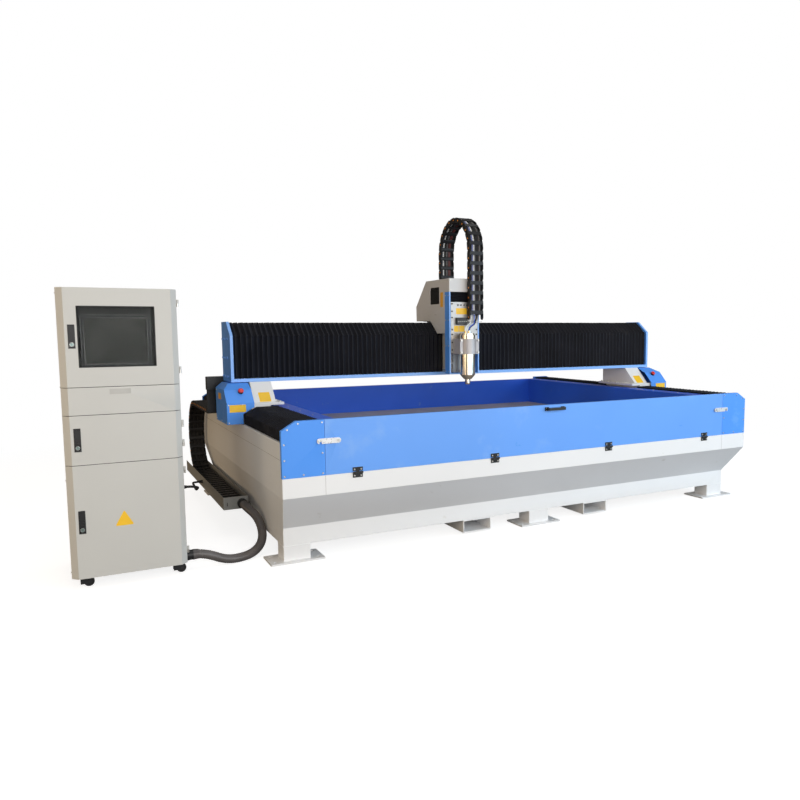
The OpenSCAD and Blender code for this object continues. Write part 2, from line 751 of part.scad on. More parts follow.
module side_chain_top() color(black) translate([side_chain_x, 0, 0])
    for (i = [0 : side_top_links - 1])
        translate([0, arm_bracket_y + i * link_p, side_top_z]) chain_link();

module gantry_beam() color(white) difference() {
    block([-end_in_x, beam_y, gantry_z], [end_in_x, beam_end_y, gantry_z + beam_h]);
    block([-end_in_x - 1, beam_y + beam_wall, gantry_z + beam_wall],
        [end_in_x + 1, beam_end_y - beam_wall, gantry_z + beam_h - beam_wall]);
}

module gantry_surround() color(blue) {
    both_sides() prism_x(end_in_x, end_x, [[gantry_y, gantry_z], [gantry_end_y, gantry_z],
        [gantry_end_y, gantry_top_z], [gantry_y + gantry_slant_d, gantry_top_z],
        [gantry_y, gantry_top_z - gantry_slant_h]]);
    // sill under the bellows
    block([-end_in_x, gantry_y, gantry_z], [end_in_x, gantry_y + sheet_t, gantry_z + sill_h]);
    block([-end_in_x, gantry_y, gantry_z], [end_in_x, beam_y, gantry_z + sheet_t]);
}

module gantry_feet() color(white) both_sides() {
    difference() {
        prism_x(foot_x - foot_w, foot_x, [[saddle_y + 24, base_z + base_plate_t],
            [gantry_y, gantry_z], [saddle_end_y, gantry_z], [saddle_end_y, base_z + base_plate_t]]);
        prism_x(foot_x - foot_w + 20, foot_x + 1, [[saddle_y + 48, base_z + base_plate_t + 0],
            [gantry_y + 8, gantry_z - 16], [saddle_end_y - 16, gantry_z - 16],
            [saddle_end_y - 16, base_z + base_plate_t]]);
    }
    block([foot_x - foot_w - 55, saddle_y, base_z], [rail_x + 80, saddle_end_y, base_z + base_plate_t]);
    block([rail_x - 70, saddle_y, block_top_z], [rail_x + 70, saddle_end_y, base_z]);
}

gear_y = gantry_y + 72;
gear_x = rack_x + rack_w + 25.5;

module side_running_gear() color(steel) {
    both_sides() {
        for (y = [saddle_y + 20, saddle_end_y - 140]) difference() {
            block([rail_x - 50, y, block_top_z - block_drop], [rail_x + 50, y + 120, block_top_z]);
            block([rail_x - rail_w / 2 - rail_gap, y - 1, block_top_z - block_drop - 1],
                [rail_x + rail_w / 2 + rail_gap, y + 121, beam_top_z + rail_h + rail_gap]);
        }
        // pinion, gearbox and motor
        rod_z(beam_top_z + 3, beam_top_z + 35, gear_x, gear_y, 25);
        block([gear_x - 40, gear_y - 45, beam_top_z + 35], [gear_x + 45, gear_y + 45, base_z - 20]);
        block([rail_x + 70, gear_y - 55, base_z - 20], [gear_x + 50, gear_y + 55, base_z]);
        block([gear_x - 40, gear_y - 43, base_z], [gear_x + 43, gear_y + 43, base_z + 135]);
    }
    // arm that carries the moving end of the side chain
    difference() {
        block([-tray_x - tray_w + 12, gantry_end_y + 3, gantry_z - 70],
            [-foot_x, gantry_end_y + 63, gantry_z + 30]);
        block([-tray_x - tray_w + 18, gantry_end_y + 9, gantry_z - 71],
            [-foot_x + 1, gantry_end_y + 57, gantry_z + 24]);
    }
    block([side_chain_x, arm_bracket_y - 8, side_top_z - link_h / 2],
        [side_chain_x + chain_w, arm_bracket_y, gantry_z + 30]);
    block([side_chain_x, gantry_end_y + 63, gantry_z + 20],
        [side_chain_x + chain_w, arm_bracket_y, gantry_z + 30]);
}

// Section of a side cover: across the bed, and along the travel
cover_across = [[half_w + cover_over, cover_low_z], [half_w + cover_over, cover_top_z - cover_edge_h],
    [half_w + cover_over - cover_edge_w, cover_top_z], [foot_x + 10, cover_top_z]];
cover_along = [[cover_y, cover_low_z], [cover_y, cover_front_z], [cover_fold_y, cover_fold_z],
    [gantry_y, cover_top_z], [cover_end_y, cover_top_z], [cover_end_y, cover_low_z]];

module side_covers() color(blue) both_sides() {
    difference() {
        intersection() {
            prism_x(foot_x + 10, half_w + cover_over, cover_along);
            prism_y(cover_y, cover_end_y, concat(cover_across, [[foot_x + 10, cover_low_z]]));
        }
        intersection() {
            prism_x(foot_x, half_w + cover_over, concat(inset(cover_along, sheet_t),
                [[cover_end_y - sheet_t, cover_low_z - 1], [cover_y + sheet_t, cover_low_z - 1]]));
            prism_y(cover_y, cover_end_y, concat(inset(cover_across, -sheet_t),
                [[foot_x, cover_top_z - sheet_t], [foot_x, cover_low_z - 1],
                 [half_w + cover_over - sheet_t, cover_low_z - 1]]));
        }
        // way for the bellows through the front and the rear
        prism_y(cover_y - 1, cover_end_y + 1, [[bellows_out_x + 6, cover_low_z - 1],
            [bellows_out_x + 6, cap_z - cap_slant_h + 3], [bellows_out_x - cap_slant_w + 6, base_z],
            [foot_x, base_z], [foot_x, cover_low_z - 1]]);
        // way for the carriage foot through the rear
        block([foot_x, cover_end_y - sheet_t - 1, cover_low_z - 1],
            [rail_x + 80.3, cover_end_y + 1, base_z + base_plate_t + 0.3]);
        // hole for the stop button's stem
        at_stop() rod_z(-20, 20, 0, 0, stop_stem_r + fit);
    }
    // collar of the stop button
    at_stop() difference() {
        rod_z(0, 6, 0, 0, 14);
        rod_z(-1, 7, 0, 0, stop_stem_r + fit);
    }
}

// Place of the right-hand stop button; its axis is the local Z
stop_x = half_w - 5;
stop_stem_r = 8;
module at_stop()
    translate([stop_x, cover_fold_y - 17, cover_fold_z - 17]) rotate([45, 0, 0]) children();

module stop_button_right() color("red") at_stop() {
    rod_z(-14, 14, 0, 0, stop_stem_r);
    rod_z(13, 20, 0, 0, stop_head_r);
    translate([0, 0, 20]) cylinder(h = 5, r1 = stop_head_r, r2 = stop_head_r - 7);
    rod_z(-18, -14, 0, 0, 11);
}
module stop_button_left() mirror([1, 0, 0]) stop_button_right();

module beam_rails() color(steel) {
    for (z = [beam_rail_low_z, beam_rail_high_z])
        block([rail_end_gap - end_in_x, beam_y - beam_rail_h, z - rail_w / 2],
            [end_in_x - rail_end_gap, beam_y, z + rail_w / 2]);
    block([rail_end_gap - end_in_x, beam_end_y, back_rack_z],
        [end_in_x - rail_end_gap, beam_end_y + rack_w, back_rack_z + back_rack_h]);
}

gantry_bellows_line = [[gantry_y + 8, gantry_z + sill_h + 2],
    [gantry_y + 8, gantry_top_z - gantry_slant_h - 1], [gantry_y + gantry_slant_d + 2, gantry_top_z - 5],
    [gantry_end_y - 30, gantry_top_z - 5]];

module gantry_bellows() color(black) {
    bellows("x", -end_in_x + 0.3, head_x - neck_w / 2 - 0.3, gantry_bellows_line);
    bellows("x", head_x + neck_w / 2 + 0.3, end_in_x - 0.3, gantry_bellows_line);
}

duct_y = gantry_end_y + 4;
duct_z = gantry_z + 100;
duct_d = 150;
duct_h = 140;
finger_y = duct_y + 75;

// Slotted duct behind the beam, with the cable chain of the head in it
module cable_duct() color(black) {
    difference() {
        block([-end_in_x + 100, duct_y, duct_z], [end_in_x - 100, duct_y + duct_d, duct_z + duct_h]);
        block([-end_in_x + 100 + sheet_t, duct_y + sheet_t, duct_z + sheet_t],
            [end_in_x - 100 - sheet_t, duct_y + duct_d - sheet_t, duct_z + duct_h - sheet_t]);
        block([-end_in_x + 200, finger_y - 8, duct_z + duct_h - sheet_t - 1],
            [end_in_x - 200, finger_y + 16, duct_z + duct_h + 1]);
    }
    // brackets to the beam
    for (x = [-1, -0.5, 0, 0.5, 1] * (end_in_x - 240))
        block([x - 30, beam_end_y, duct_z + 20], [x + 30, duct_y, duct_z + 80]);
    // the two runs of the chain
    block([-end_in_x + 140, duct_y + 10, duct_z + sheet_t],
        [end_in_x - 140, duct_y + duct_d - 10, duct_z + sheet_t + 44]);
}

module head_saddle() color(white) {
    // back plate of the head, with the hollow neck behind it
    difference() {
        union() {
            block([head_left + head_sheet_t, back_plate_y, head_z],
                [head_right - head_sheet_t, back_plate_y + back_plate_t, motor_box_top_z - 20]);
            block([head_x - neck_w / 2, back_plate_y + back_plate_t, gantry_z + 50],
                [head_x + neck_w / 2, beam_y - 48, gantry_z + 350]);
        }
        block([head_x - neck_w / 2 + 15, back_plate_y + back_plate_t, gantry_z + 65],
            [head_x + neck_w / 2 - 15, beam_y - 64, gantry_z + 335]);
    }
    // arm over the beam that carries the drive
    difference() {
        block([head_x - neck_w / 2, back_plate_y + back_plate_t, arm_z],
            [head_x + neck_w / 2, arm_end_y, arm_z + arm_t]);
        rod_z(arm_z - 1, arm_z + arm_t + 1, head_x, back_gear_y, 14);
    }
    // finger that reaches into the duct
    block([head_x - 40, finger_y, duct_z + duct_h - 60], [head_x + 40, finger_y + 8, arm_z]);
    // blocks on the beam's rails
    for (z = [beam_rail_low_z, beam_rail_high_z]) difference() {
        block([head_x - neck_w / 2, beam_y - 48, z - 45], [head_x + neck_w / 2, beam_y - 8, z + 45]);
        block([head_x - neck_w, beam_y - beam_rail_h - rail_gap, z - rail_w / 2 - rail_gap],
            [head_x + neck_w, beam_y, z + rail_w / 2 + rail_gap]);
    }
    // bearings of the lifting screw
    for (z = [head_z + 6, motor_box_z - 40]) difference() {
        block([head_x - 30, screw_y - 24, z], [head_x + 30, back_plate_y, z + 25]);
        rod_z(z - 1, z + 26, head_x, screw_y, screw_r + fit);
    }
}

back_gear_y = beam_end_y + rack_w + 25.5;

hood_end_y = gantry_end_y + hood_rear;

// Side outline of the motor cover
motor_cover_line = [[back_plate_y, motor_box_z], [head_y, motor_box_z], [head_y, motor_box_top_z],
    [hood_end_y - hood_slope_d, motor_box_top_z], [hood_end_y, motor_box_top_z - hood_slope_h],
    [hood_end_y - hood_tuck, gantry_top_z + hood_clear],
    [gantry_y + gantry_slant_d - hood_clear / 2, gantry_top_z + hood_clear],
    [gantry_y - hood_clear, gantry_top_z - gantry_slant_h + hood_clear / 2],
    [back_plate_y, gantry_top_z - gantry_slant_h + hood_clear / 2]];

module motor_cover() color(white) difference() {
    prism_x(head_left, head_right, motor_cover_line);
    prism_x(head_left + sheet_t, head_right - sheet_t, [[head_y + sheet_t, gantry_z],
        [head_y + sheet_t, motor_box_top_z - sheet_t],
        [hood_end_y - hood_slope_d - sheet_t / 2, motor_box_top_z - sheet_t],
        [hood_end_y - hood_tuck, motor_box_top_z - hood_slope_h - sheet_t / 4],
        [hood_end_y - hood_tuck - sheet_t, gantry_z]]);
    // vent in the left side
    block([head_left - 1, back_plate_y + vent_in, motor_box_z - vent_low],
        [head_left + sheet_t + 1, back_plate_y + vent_in + vent_w, motor_box_z - vent_low + vent_h]);
}

module head_side_covers() color(blue) {
    for (x = [head_left, head_right - head_sheet_t])
        block([x, head_y, head_z], [x + head_sheet_t, back_plate_y, motor_box_z]);
    block([head_left, head_y + plate_t + 6, head_z], [head_right, back_plate_y, head_z + 6]);
}

module head_rails() color(steel) for (s = [-1, 1])
    block([head_x + s * head_rail_x - 12, back_plate_y - 20, head_z + 8],
        [head_x + s * head_rail_x + 12, back_plate_y, motor_box_z - 8]);

module lifting_screw() color(steel) {
    rod_z(head_z + 8, motor_box_z + 10, head_x, screw_y, screw_r);
    rod_z(motor_box_z - 12, motor_box_z + 10, head_x, screw_y, screw_r + 6);
}

module drive_motors() color(black) {
    // lifting motor in the motor box
    block([head_x - motor_w / 2, screw_y - motor_w / 2 + 3, motor_box_z + lift_motor_up],
        [head_x + motor_w / 2, back_plate_y, motor_box_z + lift_motor_up + lift_motor_l]);
    // drive of the head along the beam: motor, shaft and pinion
    block([head_x - motor_w / 2, back_gear_y - motor_w / 2, arm_z + arm_t],
        [head_x + motor_w / 2, back_gear_y + motor_w / 2 - 11, arm_z + arm_t + travel_motor_l]);
    rod_z(back_rack_z - 2, arm_z + arm_t, head_x, back_gear_y, 10);
    rod_z(back_rack_z - 2, back_rack_z + 26, head_x, back_gear_y, 25);
}

module head_chain() color(black) translate([head_chain_x, 0, 0]) {
    for (i = [0 : head_rear_links - 1])
        translate([0, head_rear_y, head_chain_z + i * link_p]) rotate([90, 0, 0]) chain_link();
    chain_bend(head_bend_links, 0, head_bend_links, head_bend_r, head_bend_y, head_bend_z, 0);
    for (i = [1 : head_front_links])
        translate([0, head_leg_y, head_bend_z - (i - 1) * link_p]) rotate([-90, 0, 0]) chain_link();
}

module head_bellows() color(black)
    bellows("z", plate_top_z + 0.3, motor_box_z - 0.3, [[head_x + plate_half_w, head_y + 26],
        [head_x + plate_half_w, head_y + 1], [head_x - plate_half_w, head_y + 1],
        [head_x - plate_half_w, head_y + 26]], pitch = 12, depth = 8);

module head_plate() color(steel) {
    block([head_x - plate_half_w, head_y, plate_z], [head_x + plate_half_w, head_y + plate_t, plate_top_z]);
    // blocks on the head's rails
    for (s = [-1, 1], z = [plate_z + 120, plate_z + 320]) difference() {
        block([head_x + s * head_rail_x - 26, head_y + plate_t, z],
            [head_x + s * head_rail_x + 26, back_plate_y - 6, z + 60]);
        block([head_x + s * head_rail_x - 12 - rail_gap, back_plate_y - 20 - rail_gap, z - 1],
            [head_x + s * head_rail_x + 12 + rail_gap, back_plate_y, z + 61]);
    }
    // nut of the lifting screw
    difference() {
        block([head_x - 34, head_y + plate_t, plate_z + 220], [head_x + 34, screw_y + 25, plate_z + 280]);
        rod_z(plate_z + 219, plate_z + 281, head_x, screw_y, screw_r + 0.3);
    }
    // bracket under the front end of the head chain
    block([head_chain_x + 4, head_y - 12, head_leg_end_z - 34],
        [head_x + plate_half_w, head_y, head_leg_end_z + 20]);
    block([head_chain_x + 4, head_leg_y - 4, head_leg_end_z - 40],
        [head_chain_x + chain_w - 4, head_y - 12, head_leg_end_z - 34]);
    block([head_chain_x + 4, head_y - 12, head_leg_end_z - 40],
        [head_x + plate_half_w, head_y, head_leg_end_z - 34]);
}

module spindle_clamp() color(steel) difference() {
    union() {
        // block on the plate, and the cap with an ear at each side
        block([spindle_x - clamp_w / 2, spindle_y + 1, clamp_z],
            [spindle_x + clamp_w / 2, head_y, clamp_z + clamp_h]);
        block([spindle_x - clamp_w / 2, spindle_y - clamp_ear_d, clamp_z],
            [spindle_x + clamp_w / 2, spindle_y - 1, clamp_z + clamp_h]);
        intersection() {
            rod_z(clamp_z, clamp_z + clamp_h, spindle_x, spindle_y, spindle_r + clamp_wall);
            block([spindle_x - clamp_w / 2, spindle_y - spindle_r - clamp_wall - 1, clamp_z],
                [spindle_x + clamp_w / 2, spindle_y - clamp_ear_d + 1, clamp_z + clamp_h]);
        }
        // heads of the four clamp screws
        for (x = [-1, 1], z = [14, clamp_h - 14])
            rod_y(spindle_y - clamp_ear_d - 6, spindle_y - clamp_ear_d,
                spindle_x + x * (clamp_w / 2 - 10), clamp_z + z, 6);
    }
    rod_z(clamp_z - 1, clamp_z + clamp_h + 1, spindle_x, spindle_y, spindle_r + fit);
}

shaft_r = 20;
module spindle_body() color(steel) difference() {
    union() {
        rod_z(nose_z, spindle_top_z, spindle_x, spindle_y, spindle_r);
        translate([spindle_x, spindle_y, nose_z - 36])
            cylinder(h = 36, r1 = shaft_r + 12, r2 = spindle_r);
        rod_z(spindle_top_z, spindle_top_z + 12, spindle_x, spindle_y, spindle_r - 8);
        // water fittings and the power socket
        for (x = [-28, 4]) rod_z(spindle_top_z + 12, spindle_top_z + 34, spindle_x + x, spindle_y - 16, 7);
        rod_z(spindle_top_z + 12, spindle_top_z + 36, spindle_x + 26, spindle_y + 18, 13);
    }
    rod_z(nut_z - 1, spindle_top_z - 20, spindle_x, spindle_y, shaft_r + fit);
}

module collet_nut() color("gray") difference() {
    union() {
        rod_z(nut_z - 2, spindle_top_z - 30, spindle_x, spindle_y, shaft_r);
        translate([spindle_x, spindle_y, nut_z - 44]) cylinder(h = 10, r1 = 17, r2 = 22);
        rod_z(nut_z - 34, nut_z - 2, spindle_x, spindle_y, 22);
    }
    rod_z(nut_z - 45, nut_z - 4, spindle_x, spindle_y, collet_r);
    // spanner flats
    for (s = [-1, 1])
        translate([spindle_x + s * 24, spindle_y, nut_z - 18]) cube([8, 50, 14], center = true);
}

// Water tubes and power lead between the head chain and the spindle
line_top_z = head_leg_end_z - 6;
module spindle_lines() color(black) {
    tube([[spindle_x - 28, spindle_y - 16, spindle_top_z + 34],
        [spindle_x - 28, spindle_y - 16, spindle_top_z + 50],
        [spindle_x - 18, spindle_y - 8, spindle_top_z + 66],
        [spindle_x + 10, spindle_y + 8, spindle_top_z + 80],
        [head_x + 28, spindle_y + 20, spindle_top_z + 96],
        [head_x + 42, head_leg_y - 10, line_top_z + 8],
        [head_x + 46, head_leg_y - 8, line_top_z + 40]], 8, 8, [0, 1, 0]);
    tube([[spindle_x + 4, spindle_y - 16, spindle_top_z + 34],
        [spindle_x + 4, spindle_y - 16, spindle_top_z + 46],
        [spindle_x + 14, spindle_y - 10, spindle_top_z + 62],
        [head_x + 36, spindle_y + 2, spindle_top_z + 80],
        [head_x + 58, spindle_y + 8, spindle_top_z + 94],
        [head_x + 68, head_leg_y - 10, line_top_z + 8],
        [head_x + 70, head_leg_y - 8, line_top_z + 40]], 8, 8, [0, 1, 0]);
    tube([[spindle_x + 26, spindle_y + 18, spindle_top_z + 36],
        [spindle_x + 26, spindle_y + 18, spindle_top_z + 50],
        [spindle_x + 42, spindle_y + 18, spindle_top_z + 70],
        [head_x + 66, spindle_y + 20, spindle_top_z + 88],
        [head_x + 88, head_leg_y - 12, line_top_z],
        [head_x + 94, head_leg_y - 6, line_top_z + 40]], 14, 8, [0, 1, 0]);
    // terminal box on the head plate
    block([head_x - 81, head_y - 24, plate_z + 231], [head_x + 16, head_y, plate_z + 290]);
}

// Front outline of the cabinet's doors, seen from above
function door_line(d) = [[cab_left + d, cab_y + cab_door_d], [cab_left + d, cab_y + bevel + d * 0.41],
    [cab_left + bevel + d * 0.41, cab_y + d], [cab_right - bevel - d * 0.41, cab_y + d],
    [cab_right - d, cab_y + bevel + d * 0.41], [cab_right - d, cab_y + cab_door_d]];

// A bevelled sheet door from z0 to z1, with a place for its lock
module cabinet_door(z0, z1) {
    difference() {
        prism_z(z0, z1, door_line(0));
        prism_z(z0 + cab_wall, z1 - cab_wall, concat(door_line(cab_wall),
            [[cab_right - cab_wall, cab_y + cab_door_d + 1], [cab_left + cab_wall, cab_y + cab_door_d + 1]]));
        children();
    }
}

module lock_housing(z) {
    block([lock_x - 5, cab_y + 0.5, z - 5], [lock_x + lock_w + 3.5, cab_y + lock_depth + 3, z + lock_h + 8]);
}
module lock_pocket(z) {
    block([lock_x - 0.5, cab_y - 1, z - 0.5], [lock_x + lock_w + 0.5, cab_y + lock_depth, z + lock_h + 3]);
    rod_x(lock_x - 3, lock_x + lock_w + 3, cab_y + 6, z + lock_h - 6, lock_pin_r + fit);
}

// The moving leaf of a lock; it swings out about its top
module lock_lever(z) color(black) {
    block([lock_x, cab_y - 1, z], [lock_x + lock_w, cab_y + 8, z + lock_h - 2]);
    rod_y(cab_y - 3, cab_y - 1, lock_x + lock_w / 2, z + 22, 11);
    rod_x(lock_x - 2.5, lock_x + lock_w + 2.5, cab_y + 6, z + lock_h - 6, lock_pin_r);
}

upper_lock_z = (shelf_top_z + cab_top_z - lock_h) / 2 + 6;
middle_lock_z = (shelf_low_z + shelf_mid_z - lock_h) / 2 + 3;
lower_lock_z = (cab_z + shelf_low_z - lock_h) / 2 + 0.5;

// Door half of the two hinges of a door
module door_knuckles(z0, z1) for (z = [z0 + 60, z1 - 100]) difference() {
    union() {
        rod_z(z + 20.4, z + 40, cab_hinge_x, cab_hinge_y, cab_hinge_r);
        block([cab_right, cab_hinge_y - 2, z + 20.4], [cab_hinge_x, cab_hinge_y + 3, z + 40]);
    }
    rod_z(z + 20, z + 41, cab_hinge_x, cab_hinge_y, 3 + fit);
}

// Body half of the two hinges of a door, with their pins
module body_knuckles(z0, z1) for (z = [z0 + 60, z1 - 100]) {
    rod_z(z, z + 20, cab_hinge_x, cab_hinge_y, cab_hinge_r);
    rod_z(z + 20, z + 42, cab_hinge_x, cab_hinge_y, 3);
    block([cab_right + 0.4, cab_hinge_y, z], [cab_right + 3, cab_body_y + 30, z + 20]);
    block([cab_right, cab_body_y + 2, z], [cab_right + 3, cab_body_y + 30, z + 20]);
}

module window_door() color(grey) {
    z0 = shelf_top_z + door_gap;
    difference() {
        union() {
            cabinet_door(z0, cab_top_z)
                block([window_x, cab_y - 1, window_z], [window_x + window_w, cab_y + cab_wall + 1,
                    window_z + window_h]);
            lock_housing(upper_lock_z);
        }
        lock_pocket(upper_lock_z);
    }
    door_knuckles(z0, cab_top_z);
}

module middle_door() color(grey) {
    difference() {
        union() {
            cabinet_door(shelf_low_z + door_gap, shelf_mid_z);
            lock_housing(middle_lock_z);
        }
        lock_pocket(middle_lock_z);
    }
    door_knuckles(shelf_low_z + door_gap, shelf_mid_z);
}

module lower_door() color(grey) {
    difference() {
        union() {
            cabinet_door(cab_z, shelf_low_z);
            lock_housing(lower_lock_z);
        }
        lock_pocket(lower_lock_z);
    }
    door_knuckles(cab_z, shelf_low_z);
}

module monitor() color(black) {
    difference() {
        block([window_x - 10, cab_y + cab_wall + 0.3, window_z - 10],
            [window_x + window_w + 10, cab_y + cab_door_d - 4, window_z + window_h + 10]);
        block([window_x + 14, cab_y, window_z + 20],
            [window_x + window_w - 14, cab_y + cab_wall + 3.3, window_z + window_h - 14]);
    }
}

drawer_l = 430;
module keyboard_drawer() color(grey) {
    cabinet_door(shelf_mid_z + door_gap, shelf_top_z);
    // plain badge plate
    block([cab_left + 245, cab_y - 1.5, shelf_top_z - 41], [cab_left + 355, cab_y, shelf_top_z - 12]);
    difference() {
        block([cab_left + 30, cab_y + cab_wall, shelf_mid_z + 7], [cab_right - 30, cab_y + drawer_l,
            shelf_mid_z + 37]);
        block([cab_left + 33, cab_y + cab_door_d + 5, shelf_mid_z + 10], [cab_right - 33,
            cab_y + drawer_l - 3, shelf_mid_z + 38]);
    }
    // keyboard
    block([cab_left + 90, cab_y + 110, shelf_mid_z + 10], [cab_right - 90, cab_y + 260, shelf_mid_z + 32]);
}

module upper_lock() lock_lever(upper_lock_z);
module middle_lock() lock_lever(middle_lock_z);
module lower_lock() lock_lever(lower_lock_z);

gland_y = 354;
gland_z = 95;
cable_gland_y = 560;
cable_gland_z = 480;

module cabinet_shell() color(grey) {
    difference() {
        block([cab_left, cab_body_y, cab_z], [cab_right, cab_back_y, cab_top_z]);
        block([cab_left + cab_wall, cab_body_y - 1, cab_z + cab_wall],
            [cab_right - cab_wall, cab_back_y - cab_wall, cab_top_z - cab_wall]);
    }
    for (z = [shelf_low_z, shelf_mid_z, shelf_top_z])
        block([cab_left + cab_wall, cab_body_y, z],
            [cab_right - cab_wall, cab_back_y - cab_wall, z + cab_wall]);
    // bearers of the keyboard drawer
    for (x = [cab_left + 36, cab_right - 56])
        block([x, cab_body_y, shelf_mid_z + cab_wall], [x + 20, cab_back_y - 20, shelf_mid_z + 6.8]);
}

computer_h = 400;
supply_h = 150;
module drive_modules() color("lightsteelblue") {
    // frequency converter and stepper drives in the middle bay
    block([cab_left + 90, cab_back_y - 190, shelf_low_z + cab_wall], [cab_left + 250, cab_back_y - cab_wall,
        shelf_low_z + 243]);
    for (i = [0 : 3])
        block([cab_left + 300 + i * 60, cab_back_y - 150, shelf_low_z + cab_wall],
            [cab_left + 345 + i * 60, cab_back_y - cab_wall, shelf_low_z + 180]);
    // computer in the lower bay
    block([cab_left + 80, cab_y + 140, cab_z + cab_wall],
        [cab_left + 260, cab_back_y - 60, cab_z + cab_wall + computer_h]);
    // power supply
    block([cab_right - 240, cab_back_y - 160, cab_z + computer_h - supply_h],
        [cab_right - 80, cab_back_y - cab_wall, cab_z + computer_h]);
}

module fork_shape(x, y, fixed) translate([x, y, 0]) rotate([0, 0, fixed ? 0 : 90]) {
    plate_z0 = cab_z - (fixed ? 0 : 4.3);
    off = fixed ? 0 : -caster_trail;
    for (x = [-wheel_w / 2 - 4, wheel_w / 2 + 1])
        block([x, off - 12, wheel_r - 10], [x + 3, off < 0 ? 18 : 12, plate_z0]);
    block([-wheel_w / 2 - 4, off < 0 ? off + 10 : -12, plate_z0 - 4],
        [wheel_w / 2 + 4, off < 0 ? 18 : 12, plate_z0]);
    rod_x(-wheel_w / 2 - 6, wheel_w / 2 + 6, off, wheel_r, axle_r);
}

caster_x = [cab_left + caster_in, cab_right - caster_in];

module caster_fork_left() color(black) difference() {
    fork_shape(caster_x[0], caster_front_y, false);
    rod_z(cab_z - 20, cab_z + 1, caster_x[0], caster_front_y, 5 + fit);
}
module caster_fork_right() color(black) difference() {
    fork_shape(caster_x[1], caster_front_y, false);
    rod_z(cab_z - 20, cab_z + 1, caster_x[1], caster_front_y, 5 + fit);
}

module caster_wheel(x, y) color(black) difference() {
    rod_x(x - wheel_w / 2, x + wheel_w / 2, y, wheel_r, wheel_r);
    rod_x(x - wheel_w, x + wheel_w, y, wheel_r, axle_r + fit);
}
// The front casters stand turned, with their wheels trailing towards the bed
module turned_wheel(x) color(black) difference() {
    rod_y(caster_front_y - wheel_w / 2, caster_front_y + wheel_w / 2, x + caster_trail, wheel_r, wheel_r);
    rod_y(caster_front_y - wheel_w, caster_front_y + wheel_w, x + caster_trail, wheel_r, axle_r + fit);
}
module caster_wheel_fl() turned_wheel(caster_x[0]);
module caster_wheel_fr() turned_wheel(caster_x[1]);
module caster_wheel_rl() caster_wheel(caster_x[0], caster_rear_y);
module caster_wheel_rr() caster_wheel(caster_x[1], caster_rear_y);

// Hinge pins, caster plates, fixed rear forks and cable glands
module cabinet_hardware() color(steel) {
    body_knuckles(cab_z, shelf_low_z);
    body_knuckles(shelf_low_z + door_gap, shelf_mid_z);
    body_knuckles(shelf_top_z + door_gap, cab_top_z);
    for (x = caster_x) {
        block([x - 30, caster_front_y - 30, cab_z - 4], [x + 30, caster_front_y + 30, cab_z]);
        rod_z(cab_z - 11, cab_z - 4, x, caster_front_y, 5);
        rod_z(cab_z - 13, cab_z - 11, x, caster_front_y, 9);
        fork_shape(x, caster_rear_y, true);
    }
    rod_x(cab_right, cab_right + 18, gland_y, gland_z, hose_d / 2 + 4);
    rod_x(cab_right + 18, cab_right + 40, gland_y, gland_z, hose_d / 2 + 2);
    rod_x(cab_right, cab_right + 25, cable_gland_y, cable_gland_z, cable_d / 2 + 5);
}

module grey_hose() color("dimgray") tube(hose_route, hose_d, 12);
module black_cable() color(black) tube(cable_route, cable_d, 8);

placed() bed_frame();
placed() foot_plates();
placed() fork_channels();
placed() table_top();
placed() tank_lining();
placed() end_caps();
placed() hinge_leaves();
placed() guide_rails();
placed() chain_tray();
placed() side_chain_low();
placed() side_bellows();
placed() cabinet_shell();
placed() drive_modules();
placed() cabinet_hardware();
placed() grey_hose();
placed() black_cable();
placed() tank_door();
placed() door_handle();
placed() latch_left();
placed() latch_right();
placed() side_bend_low();
placed() gantry_beam();
placed() gantry_surround();
placed() gantry_feet();
placed() side_running_gear();
placed() side_covers();
placed() stop_button_left();
placed() stop_button_right();
placed() beam_rails();
placed() gantry_bellows();
placed() side_chain_top();
placed() side_bend_top();
placed() cable_duct();
placed() head_saddle();
placed() motor_cover();
placed() head_side_covers();
placed() head_rails();
placed() lifting_screw();
placed() drive_motors();
placed() head_chain();
placed() head_bellows();
placed() head_plate();
placed() spindle_clamp();
placed() spindle_body();
placed() collet_nut();
placed() spindle_lines();
placed() window_door();
placed() monitor();
placed() keyboard_drawer();
placed() middle_door();
placed() lower_door();
placed() upper_lock();
placed() middle_lock();
placed() lower_lock();
placed() caster_fork_left();
placed() caster_fork_right();
placed() caster_wheel_fl();
placed() caster_wheel_fr();
placed() caster_wheel_rl();
placed() caster_wheel_rr();
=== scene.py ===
import json
import math
import random

import bmesh
import bpy
from mathutils import Matrix, Vector


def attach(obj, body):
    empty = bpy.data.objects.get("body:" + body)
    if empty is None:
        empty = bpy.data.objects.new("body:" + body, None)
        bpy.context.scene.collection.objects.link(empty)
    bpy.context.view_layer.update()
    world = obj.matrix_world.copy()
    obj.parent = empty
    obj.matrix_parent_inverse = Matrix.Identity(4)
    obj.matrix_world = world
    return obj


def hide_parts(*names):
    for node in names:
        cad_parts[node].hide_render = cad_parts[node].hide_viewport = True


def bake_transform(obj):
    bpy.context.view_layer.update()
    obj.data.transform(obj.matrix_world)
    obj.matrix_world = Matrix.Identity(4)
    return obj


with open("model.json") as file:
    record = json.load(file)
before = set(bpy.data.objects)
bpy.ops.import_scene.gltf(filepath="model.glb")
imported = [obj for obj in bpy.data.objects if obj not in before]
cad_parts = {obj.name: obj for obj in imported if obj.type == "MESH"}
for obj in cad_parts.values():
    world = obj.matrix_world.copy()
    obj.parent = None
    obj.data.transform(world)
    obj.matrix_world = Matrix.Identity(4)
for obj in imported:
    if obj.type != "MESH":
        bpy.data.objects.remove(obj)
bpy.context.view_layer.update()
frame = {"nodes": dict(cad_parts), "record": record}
cad = frame["nodes"]

# The machine's own frame has its origin at the middle of the bed's front face, on the floor
ORIGIN_X, ORIGIN_Y = 515.0, -1380.0


